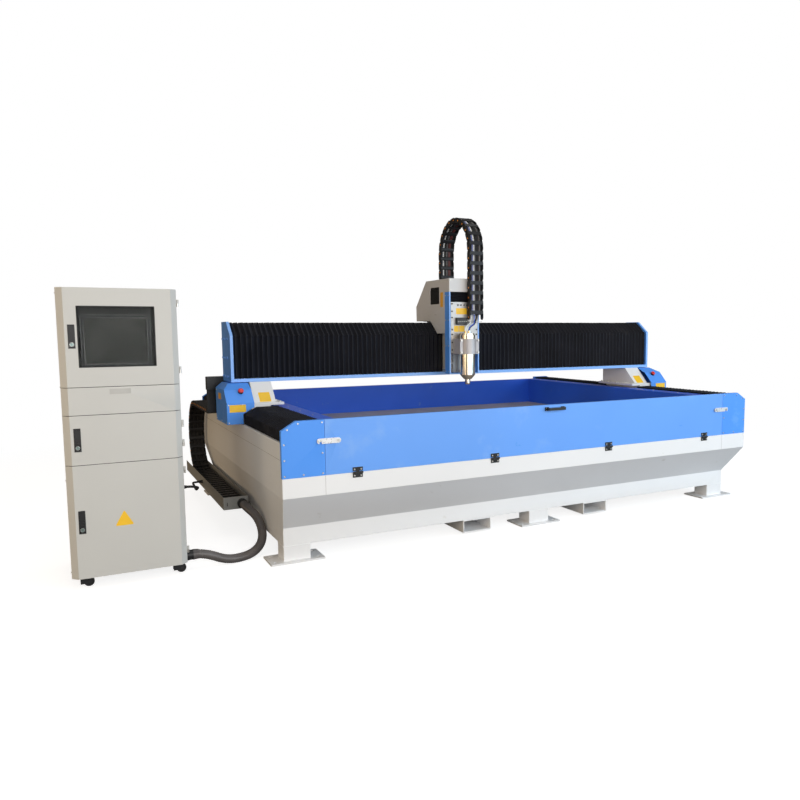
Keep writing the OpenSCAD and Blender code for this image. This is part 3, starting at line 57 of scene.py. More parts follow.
def row(p):
    """A place on the machine, in millimetres, as a point of the row frame in metres"""
    return Vector(((p[0] + ORIGIN_X) / 1000, (p[1] + ORIGIN_Y) / 1000, p[2] / 1000))


# ---------------------------------------------------------------- finishes

FINISHES = {}


def tint_mix(tree, factor, first, second):
    """Node that mixes two colours by a factor socket"""
    mix = tree.nodes.new("ShaderNodeMix")
    mix.data_type = "RGBA"
    mix.inputs["A"].default_value = (*first, 1)
    mix.inputs["B"].default_value = (*second, 1)
    tree.links.new(factor, mix.inputs["Factor"])
    return mix


def remap(tree, value, low, high, to_low, to_high):
    """Node that maps a range of a value to another"""
    node = tree.nodes.new("ShaderNodeMapRange")
    node.inputs["From Min"].default_value = low
    node.inputs["From Max"].default_value = high
    node.inputs["To Min"].default_value = to_low
    node.inputs["To Max"].default_value = to_high
    tree.links.new(value, node.inputs["Value"])
    return node


def noise(tree, place, scale, detail=3.0, rough=0.5, stretch=None):
    """Noise on the piece's own coordinates, drawn out along an axis where stretch says so"""
    texture = tree.nodes.new("ShaderNodeTexNoise")
    texture.inputs["Scale"].default_value = scale
    texture.inputs["Detail"].default_value = detail
    texture.inputs["Roughness"].default_value = rough
    if stretch:
        mapping = tree.nodes.new("ShaderNodeMapping")
        mapping.inputs["Scale"].default_value = stretch
        tree.links.new(place, mapping.inputs["Vector"])
        place = mapping.outputs["Vector"]
    tree.links.new(place, texture.inputs["Vector"])
    return texture.outputs["Fac"]


def finish(name, tint, rough, metal=0.0, mottle=0.05, patch=2.5, grain=700.0, relief=0.04,
           coat=0.0, stretch=None, spots=None, spot_share=0.62, spot_scale=9.0, spread=0.07,
           sheen=0.0, specular=0.5):
    """A finish: mottled colour, uneven gloss, fine relief, and spots of dust or wear; the spots on the
    door's blue are painted sheen
    """
    material = bpy.data.materials.new(name)
    material.use_nodes = True
    tree = material.node_tree
    tree.nodes.clear()
    out = tree.nodes.new("ShaderNodeOutputMaterial")
    body = tree.nodes.new("ShaderNodeBsdfPrincipled")
    place = tree.nodes.new("ShaderNodeTexCoord").outputs["Object"]
    broad = noise(tree, place, patch, 4.0)
    fine = noise(tree, place, patch * 14, 3.0, 0.6, stretch)
    darker = tuple(c * (1 - mottle) for c in tint)
    lighter = tuple(min(1.0, c * (1 + mottle)) for c in tint)
    colour = tint_mix(tree, remap(tree, broad, 0.3, 0.7, 0, 1).outputs["Result"], darker, lighter)
    gloss = remap(tree, fine, 0.25, 0.75, max(0.02, rough - spread), min(1.0, rough + spread))
    result, shine = colour.outputs["Result"], gloss.outputs["Result"]
    if spots:
        patchy = noise(tree, place, spot_scale, 6.0, 0.65)
        mask = remap(tree, patchy, spot_share, spot_share + 0.07, 0, 0.8)
        over = tint_mix(tree, mask.outputs["Result"], tint, spots)
        tree.links.new(result, over.inputs["A"])
        result = over.outputs["Result"]
    tree.links.new(result, body.inputs["Base Color"])
    tree.links.new(shine, body.inputs["Roughness"])
    body.inputs["Metallic"].default_value = metal
    body.inputs["Specular IOR Level"].default_value = specular
    body.inputs["Coat Weight"].default_value = coat
    body.inputs["Coat Roughness"].default_value = 0.12
    if sheen:
        body.inputs["Sheen Weight"].default_value = sheen
        body.inputs["Sheen Roughness"].default_value = 0.4
    bump = tree.nodes.new("ShaderNodeBump")
    bump.inputs["Strength"].default_value = relief
    bump.inputs["Distance"].default_value = 0.001
    tree.links.new(noise(tree, place, grain, 2.0, 0.5, stretch), bump.inputs["Height"])
    tree.links.new(bump.outputs["Normal"], body.inputs["Normal"])
    tree.links.new(body.outputs["BSDF"], out.inputs["Surface"])
    FINISHES[name] = material
    return material


finish("bed_white", (0.84, 0.845, 0.855), 0.40, mottle=0.02, patch=1.3, spots=(0.76, 0.755, 0.74),
       spot_share=0.66, coat=0.1)
# painted shade: a greyer, bluish copy of the bed's white for the sloped faces that face downwards,
# with its own dust spots
finish("skirt_painted_shade", (0.72, 0.735, 0.765), 0.42, mottle=0.025, patch=1.3, spots=(0.60, 0.60, 0.60),
       spot_share=0.66, coat=0.1)
finish("gantry_white", (0.78, 0.78, 0.775), 0.38, mottle=0.02, patch=1.6, coat=0.15)
finish("tank_blue", (0.095, 0.325, 0.92), 0.36, mottle=0.04, patch=1.1,
       spots=(0.14, 0.38, 0.93), spot_share=0.6, spot_scale=4.0, specular=0.2)
# painted sheen: the door's blue is the tank's blue made whiter, and its large lighter spots are a
# painted reflection
finish("door_blue_and_sheen", (0.145, 0.375, 0.93), 0.34, mottle=0.05, patch=0.9, coat=0.05,
       spots=(0.20, 0.43, 0.94), spot_share=0.56, spot_scale=1.6, specular=0.35)
# painted light: a paler blue for sheet faces that face the front; on the gantry's end screws it is
# plain pale blue paint
finish("pale_blue_and_lit_edge", (0.22, 0.46, 0.95), 0.34, mottle=0.03, patch=2.0, coat=0.1)
finish("lining_blue", (0.030, 0.130, 0.76), 0.34, mottle=0.06, patch=1.6, coat=0.05,
       spots=(0.08, 0.19, 0.70), spot_share=0.64, specular=0.35)
finish("cabinet_cream", (0.575, 0.578, 0.56), 0.44, mottle=0.02, patch=2.2, grain=520.0,
       relief=0.12, coat=0.05)

finish("ground_steel", (0.62, 0.62, 0.63), 0.26, metal=1.0, stretch=(1, 40, 1), grain=260.0,
       mottle=0.07)
finish("plated_steel", (0.66, 0.65, 0.62), 0.30, metal=1.0, mottle=0.08, patch=20.0, grain=420.0)
finish("latch_nickel", (0.74, 0.75, 0.77), 0.30, metal=0.35, mottle=0.04, spread=0.06)
finish("stainless", (0.75, 0.685, 0.585), 0.20, metal=1.0, mottle=0.05, patch=12.0,
       stretch=(1, 1, 60), grain=220.0, relief=0.06, spread=0.05)
finish("brass", (0.76, 0.56, 0.26), 0.28, metal=1.0, mottle=0.08, patch=20.0)
finish("plate_alloy", (0.37, 0.365, 0.36), 0.42, metal=0.85, mottle=0.06, patch=9.0,
       stretch=(40, 1, 1), grain=260.0)
finish("cast_table", (0.40, 0.365, 0.325), 0.46, metal=0.5, mottle=0.14, patch=4.0, grain=150.0,
       relief=0.15, spots=(0.50, 0.44, 0.37), spot_share=0.6)
finish("black_paint", (0.020, 0.021, 0.023), 0.36, mottle=0.12, patch=20.0, specular=0.35)
finish("black_nylon", (0.014, 0.014, 0.016), 0.42, mottle=0.20, patch=14.0, grain=380.0,
       relief=0.10, spots=(0.04, 0.039, 0.037), spot_share=0.66, specular=0.25)
finish("black_plastic", (0.020, 0.020, 0.022), 0.36, mottle=0.12, patch=20.0, grain=500.0,
       specular=0.3)
finish("black_rubber", (0.020, 0.020, 0.021), 0.62, mottle=0.15, patch=24.0, grain=300.0,
       specular=0.25)
finish("bellows_cloth", (0.0080, 0.0090, 0.0140), 0.60, mottle=0.25, patch=5.0, grain=900.0,
       relief=0.25, sheen=0.02, spots=(0.018, 0.018, 0.022), spot_share=0.62, spot_scale=5.0,
       specular=0.16)
finish("bellows_hem", (0.015, 0.0155, 0.020), 0.46, mottle=0.2, patch=12.0, grain=900.0,
       specular=0.25)
finish("grey_hose", (0.105, 0.097, 0.098), 0.36, mottle=0.14, patch=12.0, grain=260.0,
       spots=(0.20, 0.185, 0.175), spot_share=0.6)
finish("orange_pin", (0.85, 0.30, 0.03), 0.38, mottle=0.08, patch=30.0)
finish("red_plastic", (0.72, 0.02, 0.015), 0.28, mottle=0.06, patch=20.0, coat=0.3)
finish("label_yellow", (0.91, 0.545, 0.018), 0.40, mottle=0.05, patch=14.0)
finish("label_orange", (0.86, 0.42, 0.04), 0.40, mottle=0.05, patch=14.0)
finish("mark_black", (0.03, 0.03, 0.03), 0.42, mottle=0.1, patch=20.0)
finish("screen_glass", (0.016, 0.0165, 0.015), 0.24, mottle=0.25, patch=6.0, relief=0.0,
       spots=(0.045, 0.046, 0.042), spot_share=0.46, spot_scale=7.0, spread=0.07, specular=0.2)
finish("monitor_bezel", (0.018, 0.018, 0.020), 0.40, mottle=0.1, patch=12.0, specular=0.3)
finish("blue_line", (0.03, 0.10, 0.55), 0.40, mottle=0.08, patch=20.0)
finish("white_line", (0.78, 0.78, 0.76), 0.42, mottle=0.04, patch=20.0)
finish("label_grey", (0.47, 0.47, 0.455), 0.40, mottle=0.03, patch=20.0)
finish("hub_grey", (0.30, 0.295, 0.28), 0.40, mottle=0.1, patch=20.0)
finish("lead_blue", (0.16, 0.19, 0.42), 0.42, mottle=0.08, patch=20.0)
finish("lead_maroon", (0.12, 0.03, 0.028), 0.42, mottle=0.08, patch=20.0)
finish("cover_grey", (0.61, 0.61, 0.61), 0.40, mottle=0.02, patch=1.6, coat=0.08)
finish("clamp_alloy", (0.46, 0.44, 0.445), 0.48, metal=0.4, mottle=0.07, patch=9.0,
       stretch=(40, 1, 1), grain=260.0)
finish("key_metal", (0.20, 0.27, 0.265), 0.30, metal=0.7, mottle=0.06, patch=20.0)
finish("tray_grey", (0.26, 0.26, 0.25), 0.45, mottle=0.05, patch=3.0, specular=0.35)
finish("seam_shade", (0.42, 0.41, 0.39), 0.5, mottle=0.06, patch=10.0)
finish("bezel_edge", (0.16, 0.16, 0.17), 0.32, mottle=0.06, patch=10.0)
finish("module_grey", (0.36, 0.38, 0.41), 0.42, mottle=0.04, patch=8.0)
pane = finish("pane_glass", (0.72, 0.74, 0.73), 0.05, mottle=0.02, relief=0.0, spread=0.02,
              specular=0.05)
pane.node_tree.nodes["Principled BSDF"].inputs["Transmission Weight"].default_value = 1.0
pane.node_tree.nodes["Principled BSDF"].inputs["IOR"].default_value = 1.1
# painted shade: near black that stands in for the shade in gaps between doors, in openings behind
# louvres and inside the cabinet behind the monitor
finish("painted_shade_dark", (0.02, 0.02, 0.02), 0.7, mottle=0.1, patch=20.0)

# ---------------------------------------------------------------- shaping pieces


def skin(mesh, rings, finish_index=0):
    """Closed skin over rings of points, as many in each; gives the rings' vertices"""
    rows = [[mesh.verts.new(p) for p in ring] for ring in rings]
    n = len(rows[0])
    faces = []
    for a, b in zip(rows, rows[1:]):
        for j in range(n):
            k = (j + 1) % n
            faces.append(mesh.faces.new([a[j], a[k], b[k], b[j]]))
    faces += [mesh.faces.new(rows[0][::-1]), mesh.faces.new(rows[-1])]
    for f in faces:
        f.material_index = finish_index
    return rows


class Piece:
    """A piece that is drawn in machine millimetres and ends up in the row frame"""

    def __init__(self, name, finish_name, body):
        self.name, self.body = name, body
        self.mesh = bmesh.new()
        self.finishes = [finish_name]
        self.current = 0

    def use(self, finish_name):
        """The finish of whatever is added next"""
        if finish_name not in self.finishes:
            self.finishes.append(finish_name)
        self.current = self.finishes.index(finish_name)

    def loft(self, rings):
        return skin(self.mesh, rings, self.current)

    def block(self, low, high):
        (x0, y0, z0), (x1, y1, z1) = low, high
        base = [(x0, y0), (x1, y0), (x1, y1), (x0, y1)]
        self.loft([[(x, y, z0) for x, y in base], [(x, y, z1) for x, y in base]])

    def prism(self, axis, a, b, line):
        """An outline in the two other axes, drawn along one"""
        def at(s, p):
            return {"x": (s, p[0], p[1]), "y": (p[0], s, p[1]), "z": (p[0], p[1], s)}[axis]
        rings = [[at(a, p) for p in line], [at(b, p) for p in line]]
        area = sum(p[0] * q[1] - q[0] * p[1] for p, q in zip(line, line[1:] + line[:1]))
        if (area > 0) == (axis == "y"):
            rings.reverse()
        self.loft(rings)

    def turned(self, base, direction, profile, sides=32):
        """A turned part: profile is (distance along the axis, radius) from base"""
        d = Vector(direction).normalized()
        side = d.orthogonal().normalized()
        other = d.cross(side)
        rings = []
        for s, r in profile:
            middle = Vector(base) + d * s
            rings.append([middle + side * (r * math.cos(t)) + other * (r * math.sin(t))
                          for t in (2 * math.pi * j / sides for j in range(sides))])
        self.loft(rings)

    def rod(self, start, end, r, sides):
        start, end = Vector(start), Vector(end)
        self.turned(start, end - start, [(0, r), ((end - start).length, r)], sides)

    def sweep(self, route, r, sides=12, up=(0, 0, 1)):
        """A round tube along a route; r may be a list, one for each point"""
        points = [Vector(p) for p in route]
        rings = []
        for i, p in enumerate(points):
            t = (points[min(i + 1, len(points) - 1)] - points[max(i - 1, 0)]).normalized()
            n = t.cross(Vector(up))
            n = n.normalized() if n.length > 1e-6 else t.orthogonal().normalized()
            b = n.cross(t)
            radius = r[i] if isinstance(r, (list, tuple)) else r
            rings.append([p + n * (radius * math.cos(a)) + b * (radius * math.sin(a))
                          for a in (-2 * math.pi * j / sides for j in range(sides))])
        self.loft(rings)

    def done(self, bevel=0.0, smooth=35.0, replaces=(), ride=True):
        """Mesh to row frame, edges rounded, finish set, riding on its body"""
        bmesh.ops.remove_doubles(self.mesh, verts=self.mesh.verts, dist=0.001)
        bmesh.ops.recalc_face_normals(self.mesh, faces=self.mesh.faces)
        for v in self.mesh.verts:
            v.co = row(v.co)
        data = bpy.data.meshes.new(self.name)
        self.mesh.to_mesh(data)
        self.mesh.free()
        return settle(data, self.name, self.finishes, self.body if ride else None, bevel,
                      smooth=smooth, replaces=replaces)


def settle(data, name, finishes, body, bevel=0.0, segments=2, smooth=35.0, replaces=()):
    """Object from a mesh that is already in place"""
    kinds = [0] * len(data.polygons)
    data.polygons.foreach_get("material_index", kinds)
    data.materials.clear()
    for f in finishes:
        data.materials.append(FINISHES[f])
    data.polygons.foreach_set("material_index", kinds)
    obj = bpy.data.objects.new(name, data)
    bpy.context.scene.collection.objects.link(obj)
    data.shade_smooth()
    data.set_sharp_from_angle(angle=math.radians(smooth))
    if bevel:
        rounding = obj.modifiers.new("rounded edges", "BEVEL")
        rounding.width = bevel / 1000
        rounding.segments = segments
        rounding.limit_method = "ANGLE"
        rounding.angle_limit = math.radians(32)
        rounding.harden_normals = True
    if replaces:
        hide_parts(*([replaces] if isinstance(replaces, str) else replaces))
    if body:
        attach(obj, body)
    return obj


def body_of_node(node):
    return next(b for b, names in frame["record"]["behaviour"]["bodies"].items() if node in names)


def refined(node, finishes, bevel=1.5, segments=2, pick=None):
    """A node's solid with merged faces and rounded edges; pick(normal, centre) chooses a finish"""
    mesh = bmesh.new()
    mesh.from_mesh(cad[node].data)
    bmesh.ops.remove_doubles(mesh, verts=mesh.verts, dist=1e-6)
    bmesh.ops.dissolve_limit(mesh, angle_limit=math.radians(0.6), verts=mesh.verts,
                             edges=mesh.edges)
    finishes = [finishes] if isinstance(finishes, str) else list(finishes)
    for f in mesh.faces:
        f.material_index = 0
        if pick:
            c = f.calc_center_median()
            place = (c.x * 1000 - ORIGIN_X, c.y * 1000 - ORIGIN_Y, c.z * 1000)
            f.material_index = finishes.index(pick(f.normal, place))
    data = bpy.data.meshes.new(node + "_form")
    mesh.to_mesh(data)
    mesh.free()
    return settle(data, node + "_form", finishes, body_of_node(node), bevel, segments,
                  smooth=30.0, replaces=node)


# ---------------------------------------------------------------- camera

YAW, PITCH, ROLL = 0.492, 0.101, -0.006
EYE, LENS, SENSOR = (-2.589, -5.624, 1.455), 32.49, 36
ahead = Vector((math.sin(YAW) * math.cos(PITCH), math.cos(YAW) * math.cos(PITCH), -math.sin(PITCH)))
right = Vector((math.cos(YAW), -math.sin(YAW), 0))
upward = right.cross(ahead)
across = right * math.cos(ROLL) + upward * math.sin(ROLL)
upright = upward * math.cos(ROLL) - right * math.sin(ROLL)
optics = bpy.data.cameras.new("front_left_view")
optics.sensor_width, optics.lens = SENSOR, LENS
optics.shift_x, optics.shift_y = -0.06725, 0.0061
optics.clip_end = 60
camera = bpy.data.objects.new("front_left_view", optics)
bpy.context.scene.collection.objects.link(camera)
camera.matrix_world = Matrix.Translation(EYE) @ Matrix(
    (across, upright, -ahead)).transposed().to_4x4()
bpy.context.scene.camera = camera
bpy.context.scene.view_settings.view_transform = "Standard"

# ---------------------------------------------------------------- floor, sky and lamps

CAMERA_RAY = "Is Camera Ray"
FLOOR_SIZE, FLOOR_NEAR, FLOOR_FAR, FLOOR_GLOW = 30, 3.4, 6.0, 0.82


def glow(tree, kind, tint=(1, 1, 1), strength=1.0):
    """A lit shader of the given kind with a colour and a strength"""
    node = tree.nodes.new(kind)
    node.inputs["Color"].default_value = (*tint, 1)
    node.inputs["Strength"].default_value = strength
    return node


def arithmetic(tree, operation, first, second):
    node = tree.nodes.new("ShaderNodeMath")
    node.operation = operation
    tree.links.new(first, node.inputs[0])
    tree.links.new(second, node.inputs[1])
    return node


def shader_choice(tree, factor, first, second, out):
    """Output that shows the first shader at factor 0 and the second at 1"""
    node = tree.nodes.new("ShaderNodeMixShader")
    tree.links.new(factor, node.inputs["Fac"])
    tree.links.new(first, node.inputs[1])
    tree.links.new(second, node.inputs[2])
    tree.links.new(node.outputs[0], out.inputs["Surface"])


def pale_floor():
    """Floor paint that shows white with the machine's shadow, and runs out into plain white"""
    material = bpy.data.materials.new("pale_floor")
    material.use_nodes = True
    tree = material.node_tree
    tree.nodes.clear()
    out = tree.nodes.new("ShaderNodeOutputMaterial")
    diffuse = tree.nodes.new("ShaderNodeBsdfDiffuse")
    seen = tree.nodes.new("ShaderNodeLightPath").outputs[CAMERA_RAY]
    shade = tint_mix(tree, seen, (0.26, 0.25, 0.235), (0.46, 0.46, 0.46))
    tree.links.new(shade.outputs["Result"], diffuse.inputs["Color"])
    lift = glow(tree, "ShaderNodeEmission")
    tree.links.new(remap(tree, seen, 0, 1, 0, FLOOR_GLOW).outputs["Result"], lift.inputs["Strength"])
    both = tree.nodes.new("ShaderNodeAddShader")
    tree.links.new(diffuse.outputs["BSDF"], both.inputs[0])
    tree.links.new(lift.outputs["Emission"], both.inputs[1])
    reach = tree.nodes.new("ShaderNodeVectorMath")
    reach.operation = "LENGTH"
    tree.links.new(tree.nodes.new("ShaderNodeTexCoord").outputs["Object"], reach.inputs[0])
    far = remap(tree, reach.outputs["Value"], FLOOR_NEAR, FLOOR_FAR, 0, 1)
    only = arithmetic(tree, "MULTIPLY", far.outputs["Result"], seen)
    white = glow(tree, "ShaderNodeEmission")
    shader_choice(tree, only.outputs[0], both.outputs["Shader"], white.outputs["Emission"], out)
    return material


def studio_sky():
    """World that shows white and lights the machine with a weak warm sky"""
    world = bpy.data.worlds.new("studio")
    world.use_nodes = True
    tree = world.node_tree
    tree.nodes.clear()
    out = tree.nodes.new("ShaderNodeOutputWorld")
    shown = glow(tree, "ShaderNodeBackground")
    lit = glow(tree, "ShaderNodeBackground", (1.0, 0.89, 0.76), 0.20)
    path = tree.nodes.new("ShaderNodeLightPath")
    most = arithmetic(tree, "MAXIMUM", path.outputs[CAMERA_RAY],
                      path.outputs["Is Transmission Ray"])
    shader_choice(tree, most.outputs[0], lit.outputs[0], shown.outputs[0], out)
    return world


ground = bmesh.new()
bmesh.ops.create_grid(ground, x_segments=1, y_segments=1, size=FLOOR_SIZE)
floor_data = bpy.data.meshes.new("floor")
ground.to_mesh(floor_data)
ground.free()
floor = bpy.data.objects.new("floor", floor_data)
bpy.context.scene.collection.objects.link(floor)
floor_data.materials.append(pale_floor())
bpy.context.scene.world = studio_sky()


def lamp(name, place, target, size, power, tint):
    """A rectangular lamp that faces its target"""
    light = bpy.data.lights.new(name, "AREA")
    light.shape = "RECTANGLE"
    light.size, light.size_y = size
    light.energy = power
    light.color = tint
    holder = bpy.data.objects.new(name, light)
    bpy.context.scene.collection.objects.link(holder)
    holder.location = place
    holder.rotation_euler = (Vector(target) - Vector(place)).to_track_quat("-Z", "Y").to_euler()


lamp("window_front", (0.6, -8.5, 2.3), (0.2, 0, 1.0), (10, 4.2), 462, (1.0, 0.985, 0.965))
lamp("roof_panel", (0.9, -0.8, 7.5), (0.3, 0.2, 0), (8, 6), 165, (0.97, 0.985, 1.0))
lamp("window_left", (-7.6, -4.2, 2.3), (-1.4, -0.2, 0.7), (3.4, 3.0), 124, (1.0, 0.775, 0.51))
lamp("wall_left", (-6.2, 1.2, 1.0), (-1.6, -0.3, 0.75), (2.6, 1.6), 28, (1.0, 0.66, 0.32))
lamp("window_cool", (6.5, -6.0, 2.6), (1.6, -1.0, 0.8), (3.5, 3.5), 205, (0.52, 0.78, 1.0))
lamp("window_right", (9.0, -3.0, 3.4), (1.0, 0, 0.8), (5, 4), 90, (0.93, 0.97, 1.0))

# ---------------------------------------------------------------- cords

HOSE_ROUTE = [(-2475, 354, 95), (-2461, 354, 95), (-2424, 354, 91), (-2387, 354, 81),
              (-2350, 354, 66), (-2313, 354, 48), (-2276, 354, 36), (-2239, 355, 30),
              (-2203, 360, 29), (-2167, 371, 29), (-2134, 386, 31), (-2102, 405, 36),
              (-2074, 429, 44), (-2049, 456, 54), (-2028, 487, 67), (-2012, 520, 83),
              (-2000, 555, 102), (-1994, 591, 123), (-1992, 628, 146), (-1994, 665, 168),
              (-1999, 702, 186), (-2007, 739, 202), (-2018, 776, 215), (-2029, 813, 225),
              (-2037, 850, 233), (-2041, 887, 238), (-2043, 924, 240), (-2043, 942, 240)]
CABLE_ROUTE = [(-2490, 560, 480), (-2462, 560, 480), (-2432, 568, 476), (-2406, 592, 466),
               (-2390, 630, 454), (-2381, 690, 438), (-2373, 780, 414), (-2361, 890, 388),
               (-2347, 1010, 364), (-2332, 1140, 344), (-2316, 1280, 326), (-2300, 1420, 309),
               (-2285, 1560, 291), (-2272, 1670, 275), (-2262, 1735, 265), (-2256, 1784, 258),
               (-2251, 1809, 255), (-2237, 1831, 252), (-2215, 1845, 250), (-2190, 1850, 250),
               (-2184, 1850, 250)]


def along(route, step):
    """Points at equal steps along a route, through its corners"""
    points = [Vector(p) for p in route]
    total = sum((b - a).length for a, b in zip(points, points[1:]))
    count = max(2, round(total / step))
    result, i, done = [], 0, 0.0
    for k in range(count + 1):
        goal = total * k / count
        while i < len(points) - 2 and done + (points[i + 1] - points[i]).length < goal - 1e-9:
            done += (points[i + 1] - points[i]).length
            i += 1
        piece = (points[i + 1] - points[i]).length
        result.append(points[i].lerp(points[i + 1], (goal - done) / piece))
    return result


def smoothed(route, rounds=2):
    """The route with its corners eased, its two ends kept"""
    points = [Vector(p) for p in route]
    for _ in range(rounds):
        points = [points[0]] + [(a + 2 * b + c) / 4 for a, b, c in
                                zip(points, points[1:], points[2:])] + [points[-1]]
    return points


# corrugated grey hose: the radii that follow one another make its rings
HOSE_RADII = (29.0, 27.9, 26.3)
hose_line = smoothed(along(HOSE_ROUTE, 4.0), 3)
hose = Piece("grey_hose_ribbed", "grey_hose", "bed")
hose.sweep(hose_line, [HOSE_RADII[i % 3] for i in range(len(hose_line))], 20)
hose = hose.done(smooth=60, replaces="grey_hose")

cable_line = smoothed(along(CABLE_ROUTE, 8.0), 2)
cable = Piece("black_cable_round", "black_rubber", "bed")
cable.sweep(cable_line, 8.0, 14)
cable = cable.done(smooth=60, replaces="black_cable")

# ---------------------------------------------------------------- rails, whose plain solids stay

for node in ("guide_rails", "beam_rails"):
    cad[node].data.materials.clear()
    cad[node].data.materials.append(FINISHES["ground_steel"])

# ---------------------------------------------------------------- repeated small parts

def new_tree(name, sizes):
    """A node tree for repeats with a geometry input and the named sizes"""
    group = bpy.data.node_groups.new(name, "GeometryNodeTree")
    group.interface.new_socket("Geometry", in_out="INPUT", socket_type="NodeSocketGeometry")
    for label, kind, value in sizes:
        socket = group.interface.new_socket(label, in_out="INPUT", socket_type=kind)
        if value is not None:
            socket.default_value = value
    group.interface.new_socket("Geometry", in_out="OUTPUT", socket_type="NodeSocketGeometry")
    return group, group.nodes.new("NodeGroupInput"), group.nodes.new("NodeGroupOutput")


def add(group, kind, links=(), values=(), **options):
    """A node in a tree, with its options, values and incoming links"""
    node = group.nodes.new(kind)
    for key, value in options.items():
        setattr(node, key, value)
    for key, value in values:
        node.inputs[key].default_value = value
    for key, socket in links:
        group.links.new(socket, node.inputs[key])
    return node


SOCKET_SHARE, HEAD_SIDES, ROLL_SEED = 0.5, 18, 4


def socket_screws():
    """Tree: a socket head screw at every point, turned to the point's 'out' direction"""
    group, inp, out = new_tree("socket screws", [
        ("Head Radius", "NodeSocketFloat", 0.005), ("Head Height", "NodeSocketFloat", 0.004),
        ("Socket Share", "NodeSocketFloat", SOCKET_SHARE), ("Sides", "NodeSocketInt", HEAD_SIDES),
        ("Seed", "NodeSocketInt", ROLL_SEED), ("Finish", "NodeSocketMaterial", None)])
    head = add(group, "GeometryNodeMeshCylinder", [("Vertices", inp.outputs["Sides"]),
               ("Radius", inp.outputs["Head Radius"]), ("Depth", inp.outputs["Head Height"])])
    sink = add(group, "ShaderNodeMath", [(0, inp.outputs["Head Height"])], [(1, -0.55)],
               operation="MULTIPLY")
    edge = add(group, "ShaderNodeMath", [(0, inp.outputs["Head Height"])], [(1, 0.22)],
               operation="MULTIPLY")
    crown = add(group, "GeometryNodeExtrudeMesh", [("Mesh", head.outputs["Mesh"]),
                ("Selection", head.outputs["Top"]), ("Offset Scale", edge.outputs[0])])
    crown_in = add(group, "GeometryNodeScaleElements", [("Geometry", crown.outputs["Mesh"]),
                   ("Selection", crown.outputs["Top"])], [("Scale", 0.86)])
    rim = add(group, "GeometryNodeExtrudeMesh", [("Mesh", crown_in.outputs["Geometry"]),
              ("Selection", crown.outputs["Top"])], [("Offset Scale", 0.0)])
    rim_in = add(group, "GeometryNodeScaleElements", [("Geometry", rim.outputs["Mesh"]),
                 ("Selection", rim.outputs["Top"]), ("Scale", inp.outputs["Socket Share"])])
    well = add(group, "GeometryNodeExtrudeMesh", [("Mesh", rim_in.outputs["Geometry"]),
               ("Selection", rim.outputs["Top"]), ("Offset Scale", sink.outputs[0])])
    facing = add(group, "GeometryNodeInputNamedAttribute", values=[("Name", "out")],
                 data_type="FLOAT_VECTOR")
    aim = add(group, "FunctionNodeAlignRotationToVector", [("Vector", facing.outputs[0])], axis="Z")
    chance = add(group, "FunctionNodeRandomValue", [("Seed", inp.outputs["Seed"])],
                 [(2, 0.0), (3, 6.283)], data_type="FLOAT")
    roll = add(group, "FunctionNodeAxisAngleToRotation", [("Angle", chance.outputs[1])],
               [("Axis", (0, 0, 1))])
    turn = add(group, "FunctionNodeRotateRotation", [("Rotation", aim.outputs[0]),
               ("Rotate By", roll.outputs[0])], rotation_space="LOCAL")
    spread_out = add(group, "GeometryNodeInstanceOnPoints", [("Points", inp.outputs["Geometry"]),
                     ("Instance", well.outputs["Mesh"]), ("Rotation", turn.outputs[0])])
    real = add(group, "GeometryNodeRealizeInstances", [("Geometry", spread_out.outputs[0])])
    paint = add(group, "GeometryNodeSetMaterial", [("Geometry", real.outputs[0]),
                ("Material", inp.outputs["Finish"])])
    group.links.new(paint.outputs[0], out.inputs[0])
    return group


def copies_of_part():
    """Tree: a copy of one part at every point, turned by the point's 'turn' angles"""
    group, inp, out = new_tree("copies of a part", [
        ("Part", "NodeSocketObject", None), ("Size", "NodeSocketFloat", 1.0),
        ("Finish", "NodeSocketMaterial", None)])
    part = add(group, "GeometryNodeObjectInfo", [("Object", inp.outputs["Part"])])
    turn = add(group, "GeometryNodeInputNamedAttribute", values=[("Name", "turn")],
               data_type="FLOAT_VECTOR")
    angles = add(group, "FunctionNodeEulerToRotation", [("Euler", turn.outputs[0])])
    spread_out = add(group, "GeometryNodeInstanceOnPoints", [("Points", inp.outputs["Geometry"]),
                     ("Instance", part.outputs["Geometry"]), ("Rotation", angles.outputs[0]),
                     ("Scale", inp.outputs["Size"])])
    real = add(group, "GeometryNodeRealizeInstances", [("Geometry", spread_out.outputs[0])])
    paint = add(group, "GeometryNodeSetMaterial", [("Geometry", real.outputs[0]),
                ("Material", inp.outputs["Finish"])])
    group.links.new(paint.outputs[0], out.inputs[0])
    return group


SCREWS, COPIES = socket_screws(), copies_of_part()


def run_tree(tree, places, attribute, settings, name, finish_name, body, replaces=()):
    """Runs a tree on points (place in machine mm, vector) and keeps its result as a plain mesh"""
    points = bpy.data.meshes.new(name + "_points")
    points.from_pydata([row(p) for p, _ in places], [], [])
    field = points.attributes.new(attribute, "FLOAT_VECTOR", "POINT")
    field.data.foreach_set("vector", [c for _, v in places for c in v])
    holder = bpy.data.objects.new(name + "_points", points)
    bpy.context.scene.collection.objects.link(holder)
    modifier = holder.modifiers.new("repeat", "NODES")
    modifier.node_group = tree
    for item in tree.interface.items_tree:
        if item.in_out == "INPUT" and item.name in settings:
            modifier[item.identifier] = settings[item.name]
    bpy.context.view_layer.update()
    data = bpy.data.meshes.new_from_object(
        holder.evaluated_get(bpy.context.evaluated_depsgraph_get()))
    data.name = name
    holder.modifiers.remove(modifier)
    bpy.data.objects.remove(holder)
    return settle(data, name, [finish_name], body, replaces=replaces)


